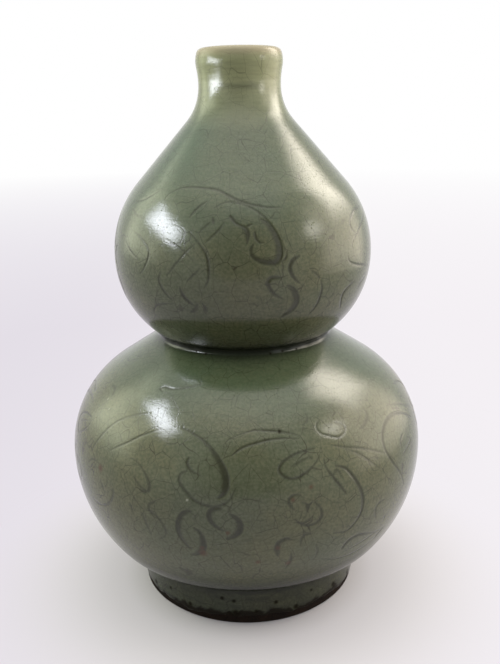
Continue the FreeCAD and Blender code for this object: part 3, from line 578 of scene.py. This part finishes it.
def cutLines(scroll, turns, sideNames, rows):
    # Every cut as a line on the surface: its places, and each piece's half width, depth and lean.
    lines = []
    endWidth, endDepth = cutting["endWidth"], cutting["endDepth"]
    for name, (width, depth, widestAt, points) in scroll.items():
        path = smoothPath(points, cutting["step"])
        lengths = np.hypot(np.diff(path[:, 0]) * math.radians(cutting["belly"]),
                           np.diff(path[:, 1]))
        along = (np.cumsum(lengths) - lengths / 2) / lengths.sum()
        swell = np.sin(math.pi * along ** (math.log(0.5) / math.log(widestAt)))
        swell = swell ** cutting["swellPower"]
        halves = max(width, cutting["thinnest"]) / 2 * cutting["wider"]
        halves = halves * (endWidth + (1 - endWidth) * swell)
        depths = depth * (endDepth + (1 - endDepth) * swell)
        heading = np.diff(path, axis=0)
        turning = np.sum(heading[:-1, 0] * heading[1:, 1] - heading[:-1, 1] * heading[1:, 0])
        broad = width >= cutting["broadFrom"]
        lean = math.copysign(1.0, turning) if broad else 0.0
        for turn in turns["all"] + (turns["side"] if name in sideNames else ()):
            places = [turned(np.interp(height, rows[:, 1], rows[:, 0]), height,
                             math.radians(azimuth + turn)) for azimuth, height in path]
            lines.append((broad, path + (turn, 0), places, halves, depths, lean))
    return lines


def cellsUnder(lines, rows, marks):
    # The fine cells of a net that lie under the cuts and marks.
    fineness = net["fineness"]
    columns = net["columns"] * fineness
    fine = np.zeros((columns, len(rows) - 1), bool)
    lengths = np.concatenate(([0.0], np.cumsum(np.hypot(*np.diff(rows, axis=0).T))))
    spots = [(azimuth, height, half) for _, path, _, halves, _, _ in lines
             for (azimuth, height), half in zip(path, halves)]
    for azimuth, height, half in spots + marks:
        radius = np.interp(height, rows[:, 1], rows[:, 0])
        reach = half + cutting["margin"]
        where = np.interp(height, rows[:, 1], lengths)
        low, high = np.searchsorted(lengths, (where - reach, where + reach))
        spread = math.degrees(reach / radius)
        left = math.floor((azimuth - spread) / 360 * columns)
        right = math.ceil((azimuth + spread) / 360 * columns)
        fine[np.arange(left, right) % columns, max(0, low - 1):high + 1] = True
    fine[:, :2 * fineness] = False
    fine[:, -2 * fineness:] = False
    return fine


def cutObject(name, lines):
    points, edges, halves, depths, leans, headings = [], [], [], [], [], []
    for _, _, places, half, depth, lean in lines:
        start = len(points)
        points += places
        edges += [(start + i, start + i + 1) for i in range(len(places) - 1)]
        halves += list(half * mm)
        depths += list(depth)
        leans += [lean] * len(half)
        headings += [tuple((Vector(b) - Vector(a)).normalized())
                     for a, b in zip(places, places[1:])]
    mesh = bpy.data.meshes.new(name)
    mesh.from_pydata(points, edges, [])
    for label, values in (("halfWidth", halves), ("share", depths), ("lean", leans)):
        mesh.attributes.new(label, "FLOAT", "EDGE").data.foreach_set("value", values)
    heading = mesh.attributes.new("heading", "FLOAT_VECTOR", "EDGE")
    heading.data.foreach_set("vector", np.ravel(headings))
    return inScene(name, mesh)


def incisedScrollTree():
    # Cuts every line into the surface. A broad cut has a steep wall on the outside of its bend, as
    # the slanted knife leaves it, and the share named burr marks the paler edge past that wall.
    tree = bpy.data.node_groups.new("incisedScroll", "GeometryNodeTree")
    for name, kind in (("Geometry", "Geometry"), ("Cuts", "Object"), ("Cut depth", "Float"),
                       ("Glaze", "Material")):
        tree.interface.new_socket(name, in_out="INPUT", socket_type="NodeSocket" + kind)
    tree.interface.new_socket("Geometry", in_out="OUTPUT", socket_type="NodeSocketGeometry")
    add = partial(addNode, tree)
    given = add("NodeGroupInput").outputs
    cuts = add("GeometryNodeObjectInfo", (given["Cuts"],)).outputs["Geometry"]
    nearest = add("GeometryNodeProximity", (cuts,), target_element="EDGES").outputs
    index = add("GeometryNodeSampleNearest", (cuts,), domain="EDGE")
    read = {}
    for label, kind in (("halfWidth", "FLOAT"), ("share", "FLOAT"), ("lean", "FLOAT"),
                        ("heading", "FLOAT_VECTOR")):
        value = add("GeometryNodeInputNamedAttribute", (label,), data_type=kind)
        read[label] = add("GeometryNodeSampleIndex", (cuts, value, index), data_type=kind,
                          domain="EDGE")
    normal = add("GeometryNodeInputNormal")
    offset = add("VectorMath", (add("GeometryNodeInputPosition"), nearest["Position"]), "SUBTRACT")
    sideways = add("VectorMath", (read["heading"], normal), "CROSS_PRODUCT")
    side = add("VectorMath", (offset, sideways), "DOT_PRODUCT")
    leaning = add("Math", (side, read["lean"]), "MULTIPLY")
    isLean = add("Math", (read["lean"],), "ABSOLUTE")
    across = add("Math", (nearest["Distance"], read["halfWidth"]), "DIVIDE")
    sign = add("Math", (leaning,), "SIGN")
    signed = add("Math", (across, sign), "MULTIPLY")
    part = {}
    for label, (start, end) in section.items():
        measured = across if label in ("evenFall", "gatherFall") else signed
        rises = float(label.endswith("Rise"))
        part[label] = add("MapRange", (measured, start, end, 1 - rises, rises), **smooth)
    # glaze gathers in the cut and a little past its edges, and most in the deep ones
    part["gatherShare"] = add("MapRange", (read["share"], 0, 1, gatherLeast))
    part["share"], part["isLean"] = read["share"], isLean
    products = {}
    for name, factors in (("slant", ("slopeRise", "wallFall")),
                          ("burr", ("burrRise", "burrFall", "isLean", "share")),
                          ("ink", ("gatherFall", "gatherShare"))):
        products[name] = part[factors[0]]
        for factor in factors[1:]:
            products[name] = add("Math", (products[name], part[factor]), "MULTIPLY")
    cut = add("Mix", (isLean, part["evenFall"], products["slant"]))
    cut = add("Math", (cut, read["share"]), "MULTIPLY")
    # every field reads the surface before it moves, so the shares are stored first, and each keeps
    # the most that an earlier cut left there
    surface, before, most = given["Geometry"], {}, {}
    for label, held, value in (("cut", "cutHere", cut), ("burr", "burr", products["burr"]),
                               ("ink", "ink", products["ink"])):
        before[label] = add("GeometryNodeInputNamedAttribute", (label,), data_type="FLOAT")
        most[label] = add("Math", (value, before[label]), "MAXIMUM")
        surface = add("GeometryNodeStoreNamedAttribute", {
            "Geometry": surface, "Name": held, "Value": most[label]}, data_type="FLOAT")
    deeper = add("Math", (before["cut"], most["cut"]), "SUBTRACT")
    distance = add("Math", (deeper, given["Cut depth"]), "MULTIPLY")
    move = add("VectorMath", (normal, distance), "SCALE")
    moved = add("GeometryNodeSetPosition", {"Geometry": surface, "Offset": move})
    held = add("GeometryNodeInputNamedAttribute", ("cutHere",), data_type="FLOAT")
    surface = add("GeometryNodeStoreNamedAttribute", {
        "Geometry": moved, "Name": "cut", "Value": held}, data_type="FLOAT")
    real = add("GeometryNodeRealizeInstances", (surface,))
    glazed = add("GeometryNodeSetMaterial", {"Geometry": real, "Material": given["Glaze"]})
    add("NodeGroupOutput", (glazed,))
    return tree


def cutScroll(piece, lines, glaze):
    # Broad cuts first and fine ones after, so that a fine cut never wipes out a broad one.
    sockets = {item.name: item.identifier for item in scrollTree.interface.items_tree
               if item.in_out == "INPUT"}
    lineObjects = []
    for label, broad in (("broadCuts", True), ("fineCuts", False)):
        lineObject = cutObject(piece.name + label, [line for line in lines if line[0] is broad])
        lineObjects.append(lineObject)
        modifier = piece.modifiers.new(label, "NODES")
        modifier.node_group = scrollTree
        modifier[sockets["Cuts"]] = lineObject
        modifier[sockets["Cut depth"]] = cutting["depth"] * mm
        modifier[sockets["Glaze"]] = glaze
    depsgraph = bpy.context.evaluated_depsgraph_get()
    plain = bpy.data.meshes.new_from_object(
        piece.evaluated_get(depsgraph), preserve_all_data_layers=True, depsgraph=depsgraph)
    piece.modifiers.clear()
    piece.data = plain
    for lineObject in lineObjects:
        bpy.data.objects.remove(lineObject)


def glazedPiece(name, arcs, scroll, turns, sideNames, marks, backRun):
    # The coat along the arcs, fine where the scroll and the marks go, and the scroll's lines.
    rows = rowsAlong(outlineRun(arcs), net["fineness"])
    lines = cutLines(scroll, turns, sideNames, rows)
    points, faces, edges = latticeNet(rows, cellsUnder(lines, rows, marks))
    sharp = addBack(points, faces, edges, rowsAlong(backRun, 1, net["backCoarser"]))
    return newPiece(name, points, faces, sharp), lines


scrollTree = incisedScrollTree()
print("outline and scroll tree ready")

# Celadon glaze, crackled: a clear iron-green glass over grey stoneware, reduction fired. It gives
# the eye a deep gloss, fine dark crazing, an orange-peel skin, and darker olive where it pools in
# cuts. Sizes are in millimetres.
celadon = {
    "green": "646B54", "olive": "6D6E51", "roughness": 0.14, "ior": 1.5,
    "gloss": 0.5, "dryGloss": 0.04,
    "wanders": [(24, 9), (5, 1.2)], "crazeTall": 0.75,  # size and reach of the crazing's bends
    "crazes": [(8.0, 0.12), (4.0, 0.1)], "smallCraze": 0.7, "crazeHeight": 0.02,
    "peelSize": 0.8, "peelHeight": 0.024, "pitSpacing": 1.5, "pitSize": 0.5, "pitHeight": 0.03,
    "pitSkipped": 0.4, "throwScale": (0.1, 0.1, 0.75), "throwHeight": 0.045, "throwShade": 0.16,
    # size, detail, the range that is used and what it becomes, and how it passes between
    "noises": {"patch": (26, 2, (0.45, 0.62, 0, 1), "LINEAR"),
               "stain": (8, 2, (0.3, 0.65, 0.12, 0.95), "LINEAR"),
               "cloud": (42, 3, (0.35, 0.65, 0, 1), "SMOOTHSTEP"),
               "grain": (1.3, 4, (0.36, 0.66, 0, 0.6), "LINEAR")},
    # the colours laid over the green, in order: the share that each follows, and its strength
    # the near-black layer darkens where the glaze pools, and also paints shade: in the creases of
    # the waist and throat, under the upper bulb, and low on the belly and foot
    "layers": [("grain", "434D31", 1.0), ("crazeInk", "35321E", 0.8), ("jade", "4D634F", 1.0),
               ("pale", "A0A480", 1.0), ("ringShade", "35321E", 1.0), ("crazeInk", "35321E", 0.35),
               ("pool", "1C2019", 0.95), ("thin", "B0A68C", 1.0), ("burr", "7C8262", 0.5),
               ("ink", "292B15", 0.86), ("rust", "553A22", 0.85), ("white", "C8CABA", 0.8),
               ("dark", "1E1812", 0.9)],
}


def celadonGlaze():
    material = bpy.data.materials.new("celadon glaze, crackled, reduction fired")
    add = emptyTree(material)
    place = add("TexCoord").outputs["Object"]
    inMm = add("VectorMath", (place, 1 / mm), "SCALE")
    bent = inMm
    for size, reach in celadon["wanders"]:
        wander = add("TexNoise", (inMm, 1 / size, 1.0))
        bent = add("VectorMath", (wander.outputs["Color"], (reach,) * 3, bent), "MULTIPLY_ADD")
    tall = add("Mapping", {"Vector": bent, "Scale": (1, 1, celadon["crazeTall"])})
    crazes = []
    for cell, width in celadon["crazes"]:
        # real crazing is about 0.05 mm wide; it is drawn two or three times wider so that it shows
        edge = add("TexVoronoi", (tall, 1 / cell), feature="DISTANCE_TO_EDGE")
        crazes.append(add("MapRange", (edge, width * 0.3 / cell, width * 1.5 / cell, 1.0, 0.0),
                          **smooth))
    shares = {}
    for name, (size, detail, span, passing) in celadon["noises"].items():
        noise = add("TexNoise", (inMm, 1 / size, detail))
        shares[name] = add("MapRange", (noise, *span), interpolation_type=passing)
    small = add("Math", (crazes[1], shares["patch"]), "MULTIPLY")
    small = add("Math", (small, celadon["smallCraze"]), "MULTIPLY")
    craze = add("Math", (crazes[0], small), "MAXIMUM")
    shares["crazeInk"] = add("Math", (craze, shares["stain"]), "MULTIPLY")
    # the low rings that the thrower's fingers and the turning tool leave
    rings = add("Mapping", {"Vector": inMm, "Scale": celadon["throwScale"]})
    rings = add("TexNoise", (rings, 1.0, 2.0))
    shares["ringShade"] = add("MapRange", (rings, 0.4, 0.7, 0, celadon["throwShade"]))
    colour = add("Mix", (shares["cloud"], linearColour(celadon["green"]),
                         linearColour(celadon["olive"])), data_type="RGBA")
    for label, ink, strength in celadon["layers"]:
        if label not in shares:
            shares[label] = add("Attribute", attribute_name=label).outputs["Fac"]
        share = shares[label]
        amount = add("Math", (share, strength), "MULTIPLY")
        colour = add("Mix", (amount, colour, linearColour(ink)), data_type="RGBA")

    peel = add("TexNoise", (inMm, 1 / celadon["peelSize"], 2.0))
    pitCell = add("TexVoronoi", (inMm, 1 / celadon["pitSpacing"])).outputs
    pitEdge = celadon["pitSize"] / celadon["pitSpacing"]
    pit = add("MapRange", (pitCell["Distance"], 0.0, pitEdge, 1.0, 0.0), **smooth)
    chosen = add("SeparateColor", (pitCell["Color"],))
    chosen = add("Math", (chosen, celadon["pitSkipped"]), "GREATER_THAN")
    pit = add("Math", (pit, chosen), "MULTIPLY")
    relief = {}
    for height, rise, strength, inward in (
            (rings, "throwHeight", 1.0, False), (peel, "peelHeight", 1.0, False),
            (pit, "pitHeight", 1.0, True), (craze, "crazeHeight", 0.6, True)):
        relief["Normal"] = add("Bump", {"Height": height, "Distance": celadon[rise] * mm,
                                        "Strength": strength, **relief}, invert=inward)
    # kiln dust and grit dull the gloss in the crease of the waist and low down by the foot, and
    # pinholes break it everywhere
    dry = add("Attribute", attribute_name="dry").outputs["Fac"]
    dry = add("Math", (dry, pit), "MAXIMUM")
    gloss = add("MapRange", (dry, 0, 1, celadon["gloss"], celadon["dryGloss"]))
    shader = add("BsdfPrincipled", {
        "Base Color": colour, "Roughness": celadon["roughness"], "IOR": celadon["ior"],
        "Specular IOR Level": gloss, **relief})
    add("OutputMaterial", (shader,))
    return material


glaze = celadonGlaze()

# Lower bulb's glaze, from its ragged line above the foot's edge up to the waist. Spots have an
# azimuth, a height and a size, and waves have their times round the foot, a start and a size.
# Bells have a share, a height and a spread, and ramps a share, a start and a length, which is
# negative where the ramp rises downwards.
glazeLower = {
    "raggedFrom": 15.0, "raggedTo": 5.8,
    "raggedWaves": [(3, 0.4, 0.5), (7, 2.1, 0.45), (13, 5.0, 0.35), (29, 1.3, 0.3),
                    (53, 3.7, 0.22)],
    "burntHeight": 7.9, "burntRise": 1.8, "burntSoft": 0.8, "burntFront": (1.2, -14, 24),
    "burntWaves": [(2, 1.0, 0.4), (9, 0.3, 0.4), (21, 2.2, 0.4), (47, 4.1, 0.35), (71, 0.9, 0.3)],
    # the foot's dark glaze is pooled glaze with painted shade under the belly; the broad bell at
    # 34 and the bells at 35 and 29 darken the belly towards the foot, a painted shade, and the
    # bell at 151 paints shade into the waist's crease over pooled glaze
    "footPool": (0.8, 33.0, 4.0), "streakedBells": [(0.2, 24, 4), (0.25, 8, 1.6), (0.45, 34, 15)],
    "streakBase": 0.92, "streak": 0.1, "footFade": [(-0.12, 23, -4)],
    "poolBells": [(0.3, 35, 8), (0.3, 29, 4), (0.95, 151, 2.6)],
    # the jade ramp on the lower shoulder up to the waist is partly thicker glaze and partly a
    # painted reflection of the upper bulb
    "jadeRamps": [(0.5, 126, 12)], "dryRamps": [(0.85, 56, -12), (-0.45, 27, -3)],
    "burntDry": 0.5, "rustSpread": 1.6, "seat": (62.2, 7.0, 24.0),
    "rust": [(-12.8, 65.0, 1.3), (-5.2, 78.3, 0.7), (12.8, 93.8, 0.7), (18.2, 98.7, 0.7),
             (3.0, 60.0, 0.8), (8.7, 68.4, 0.8), (12.1, 57.3, 0.8), (-12.9, 68.2, 0.7),
             (-48.6, 96.7, 1.2)],
    "dark": [(10.9, 123.3, 0.9), (13.4, 13.7, 1.1), (49.0, 10.6, 1.6), (-6.6, 8.3, 1.8),
             (-7.4, 15.7, 1.0), (-13.3, 16.9, 1.0), (-9.5, 7.6, 1.4), (24.0, 8.0, 1.5),
             (-31.0, 8.5, 1.3), (-58.0, 9.0, 1.5), (66.0, 8.5, 1.6), (3.5, 9.5, 0.9),
             (-44.0, 13.0, 0.9), (33.0, 15.0, 0.8), (-31, 150.2, 0.6), (-24, 149.9, 0.6),
             (16, 150.0, 0.6), (24, 150.4, 0.6), (34, 150.1, 0.5)],
    "white": [(-16.4, 93.9, 0.55), (-59.2, 125.4, 0.35), (-54.6, 122.6, 0.35)],
    # the thrown wall is a touch fuller at the front of the shoulder than a true round: how much,
    # its height and spread, its azimuth's spread, and its shares outwards and upwards
    "swell": (0.8, 139.5, 6.0, 65.0), "swellOut": 0.54, "swellUp": 0.84,
}


def bells(heights, parts):
    return sum(share * np.exp(-((heights - middle) / spread) ** 2)
               for share, middle, spread in parts)


def ramps(heights, parts):
    return sum(share * np.clip((heights - start) / length, 0, 1)
               for share, start, length in parts)


def waves(azimuths, parts):
    return sum(np.sin(np.radians(azimuths) * times + start) * size
               for times, start, size in parts)


def creaseDryness(azimuths, heights):
    # Full in the middle of the waist's front, and broken elsewhere, so that only glints show.
    broken = 0.45 + waves(azimuths, [(17, 0, 0.25), (41, 1, 0.15)])
    front = ramps(np.abs(azimuths + 5), [(1, 28, -8)])
    return np.maximum(broken, front) * bells(heights, [(1, 150.8, 1.7)])


def footStreaks(azimuths, heights):
    # Uneven streaks of glaze round the foot, from waves that cross each other.
    turns = np.radians(azimuths)
    streaks = np.sin(heights * 1.25 + 1.5 * np.sin(3 * turns))
    streaks *= 0.6 + 0.4 * np.sin(7 * turns + 1)
    streaks += 0.5 * np.sin(19 * turns + heights * 0.4)
    return streaks + 0.7 * np.sin(31 * turns + heights) * np.sin(11 * turns - heights * 0.8)


def spotShares(piece, spots):
    azimuths, heights, radii = placesOn(piece)
    shares = np.zeros(len(azimuths))
    for azimuth, height, size in spots:
        apart = np.radians((azimuths - azimuth + 180) % 360 - 180) * radii
        away = np.hypot(apart, heights - height)
        shares = np.maximum(shares, np.clip(1.4 - away / size, 0, 1))
    return shares


allSpots = glazeLower["rust"] + glazeLower["dark"] + glazeLower["white"]
seatRadius, seatLow, seatHigh = glazeLower["seat"]
backRun = [(seatRadius, seatLow, glazeThickness), (seatRadius, seatHigh, net["straightBend"])]
backRun += outlineRun(lowerArcs[2:], glazeThickness)
lower, scrollLines = glazedPiece("glaze_lower", lowerArcs, lowerScroll, cutting["lowerTurns"],
                                 sideLower, allSpots, backRun)
azimuths, heights, radii = placesOn(lower)
look = glazeLower
drop = look["raggedFrom"] - look["raggedTo"]
ragged = waves(azimuths, look["raggedWaves"]) * ramps(heights, [(1, look["raggedFrom"], -drop)])
for vertex, rise in zip(lower.data.vertices, ragged):
    if rise:
        vertex.co.z += rise * mm
# the foot's darkening: pooled glaze, and painted shade under the belly
share, height, spread = look["footPool"]
pool = share / (1 + np.exp((heights - height) / spread)) + bells(heights, look["streakedBells"])
pool *= look["streakBase"] + look["streak"] * footStreaks(azimuths, heights) + ramps(
    heights, look["footFade"])
burnt = look["burntHeight"] + bells(azimuths, [look["burntFront"]])
burnt += look["burntRise"] * waves(azimuths, look["burntWaves"])
edge = np.clip((burnt - heights) / look["burntSoft"], 0, 1)
darkShares = spotShares(lower, look["dark"])
rustSpots = [(turn, height, size * look["rustSpread"]) for turn, height, size in look["rust"]]
none = heights * 0
for name, values in {
        "pool": pool + bells(heights, look["poolBells"]),
        "jade": ramps(heights, look["jadeRamps"]),
        "dry": (ramps(heights, look["dryRamps"]) + creaseDryness(azimuths, heights)
                + look["burntDry"] * edge + darkShares),
        "rust": spotShares(lower, rustSpots), "dark": np.maximum(darkShares, edge),
        "white": spotShares(lower, look["white"]),
        "thin": none, "cut": none, "burr": none, "ink": none}.items():
    storeShare(lower, name, values)
cutScroll(lower, scrollLines, glaze)
amount, middle, spread, width = look["swell"]
outwards, upwards = look["swellOut"], look["swellUp"]
azimuths, heights, radii = placesOn(lower)
bulge = amount * np.exp(-((heights - middle) / spread) ** 2 - (azimuths / width) ** 2)
for vertex, azimuth, rise in zip(lower.data.vertices, azimuths, bulge):
    if rise > 0.01:
        vertex.co.x += outwards * rise * mm * math.sin(math.radians(azimuth))
        vertex.co.y -= outwards * rise * mm * math.cos(math.radians(azimuth))
        vertex.co.z += upwards * rise * mm
seat(lower, "celadon_glaze", "outer_glaze")

# Upper bulb's glaze, from the waist over the shoulder and neck to the crest of the lip. The throat
# is darker at the front, a painted shade in its crease over some pooled glaze, and the upper belly
# darkens down towards the waist, a painted shade under the bulb.
glazeUpper = {
    # the waist's bell paints shade into the crease over pooled glaze, the throat's bell paints
    # shade into its crease, and the belly's ramp paints shade under the upper bulb
    "throatPool": [(0.4, 280.5, 1.3)], "throatFront": (1.3, 3, 32),
    "waistPool": [(0.9, 151, 3)], "bellyPool": [(1, 192, -40)], "bellyShare": 0.62,
    "bellyPower": 1.5, "dryRamps": [(0.4, 178, -12), (0.5, 283, 2)],
    "thinRamps": [(0.85, 294.5, 3.5)], "paleRamps": [(0.9, 260, 24)],
    "jadeRamps": [(0.35, 205, 20)], "jadeSide": (0.5, -48, 26), "jadeHeight": (1, 252, 24),
}
upper, scrollLines = glazedPiece("glaze_upper", upperArcs, upperScroll, cutting["upperTurns"],
                                 sideUpper, [], outlineRun(upperArcs, glazeThickness))
azimuths, heights, radii = placesOn(upper)
look = glazeUpper
most, middle, spread = look["throatFront"]
front = np.clip(most - np.abs(azimuths - middle) / spread, 0, 1)
belly = ramps(heights, look["bellyPool"]) ** look["bellyPower"]
sideJade = bells(azimuths, [look["jadeSide"]]) * bells(heights, [look["jadeHeight"]])
none = heights * 0
for name, values in {
        "pool": (bells(heights, look["waistPool"]) + bells(heights, look["throatPool"]) * front
                 + look["bellyShare"] * belly),
        "dry": creaseDryness(azimuths, heights) + ramps(heights, look["dryRamps"]),
        "thin": ramps(heights, look["thinRamps"]),
        "pale": ramps(heights, look["paleRamps"]),
        "jade": ramps(heights, look["jadeRamps"]) + sideJade,
        "cut": none, "burr": none, "ink": none}.items():
    storeShare(upper, name, values)
cutScroll(upper, scrollLines, glaze)
seat(upper, "celadon_glaze", "outer_glaze")

# Inside glaze, from the crest of the lip down the neck and over both bulbs' walls and the floor.
glazeInside = {"floorClay": 31.0, "floorFace": 31.8, "faceCoarser": 1.6, "thin": 0.3,
               "thinRamps": [(0.6, 294.5, 3.5)]}
innerDepth = clayThickness + 2 * glazeThickness
lip = ["lipInside"]
face = outlineRun(insideArcs[:2]) + outlineRun(insideArcs[2:], innerDepth)
face += outlineRun(lip)[::-1]
clay = outlineRun(insideArcs[:1], -glazeThickness) + outlineRun(insideArcs[1:2], -glazeThickness)
clay += outlineRun(insideArcs[2:], innerDepth - glazeThickness)
clay += outlineRun(lip, glazeThickness)[::-1]
faceRows = rowsAlong(face, 1, glazeInside["faceCoarser"])
clayRows = rowsAlong(clay, 1, net["backCoarser"])
profile = [(0, glazeInside["floorClay"]), *map(tuple, clayRows), *map(tuple, faceRows[::-1]),
           (0, glazeInside["floorFace"])]
inside = newPiece("glaze_inside", *turnedSolid(profile, net["columns"]))
azimuths, heights, radii = placesOn(inside)
storeShare(inside, "thin", glazeInside["thin"] + ramps(heights, glazeInside["thinRamps"]))
inside.data.materials.append(glaze)
seat(inside, "celadon_glaze", "inner_glaze")
print("glaze made")

# Bare stoneware at the foot: iron-rich clay, burnt dark brown where no glaze covers it, with grog
# and sand in it. It gives the eye a dry, nearly black-brown edge with pits. The body clay and the
# slip are the same clay, greyer under the glaze. Grain and patch are sizes in millimetres.
footClay = {"dark": "120E0C", "light": "261C16", "grain": 0.9, "roughness": 0.9, "gloss": 0.15}
stoneware = {"dark": "6F665B", "light": "8F8578", "grain": 0.7, "roughness": 0.8, "gloss": 0.5}
slipClay = {"dark": "8A8073", "light": "9C9284", "grain": 0.4, "roughness": 0.85, "gloss": 0.5}
clayPatch, clayPits = 9, 0.25


def firedClay(name, look):
    material = bpy.data.materials.new(name)
    add = emptyTree(material)
    place = add("TexCoord").outputs["Object"]
    inMm = add("VectorMath", (place, 1 / mm), "SCALE")
    sand = add("TexNoise", (inMm, 1 / look["grain"], 4.0))
    patch = add("TexNoise", (inMm, 1 / clayPatch, 3.0))
    blend = add("Math", (sand, patch), "MULTIPLY")
    blend = add("MapRange", (blend, 0.15, 0.4))
    colour = add("Mix", (blend, linearColour(look["dark"]), linearColour(look["light"])),
                 data_type="RGBA")
    bump = add("Bump", {"Height": sand, "Distance": clayPits * mm, "Strength": 0.8})
    shader = add("BsdfPrincipled", {"Base Color": colour, "Roughness": look["roughness"],
                                    "Specular IOR Level": look["gloss"], "Normal": bump})
    add("OutputMaterial", (shader,))
    return material


footFinish = firedClay("iron-rich stoneware, turned, bare and burnt dark", footClay)
bodyClay = firedClay("stoneware, thrown, under the glaze", stoneware)
jointSlip = firedClay("clay slip, brushed on", slipClay)
finishes = {"foot_ring": footFinish, "base_glaze": glaze}
for node in ("lower_bulb_bowl", "lower_bulb_shoulder", "upper_bulb_bowl", "upper_bulb_shoulder",
             "neck_collar"):
    finishes[node] = bodyClay
for node in ("foot_lute", "lower_equator_lute", "waist_lute", "upper_equator_lute", "neck_lute"):
    finishes[node] = jointSlip
for node, material in finishes.items():
    for slot in bpy.data.objects[node].material_slots:
        slot.material = material
print("clay and slip finished")
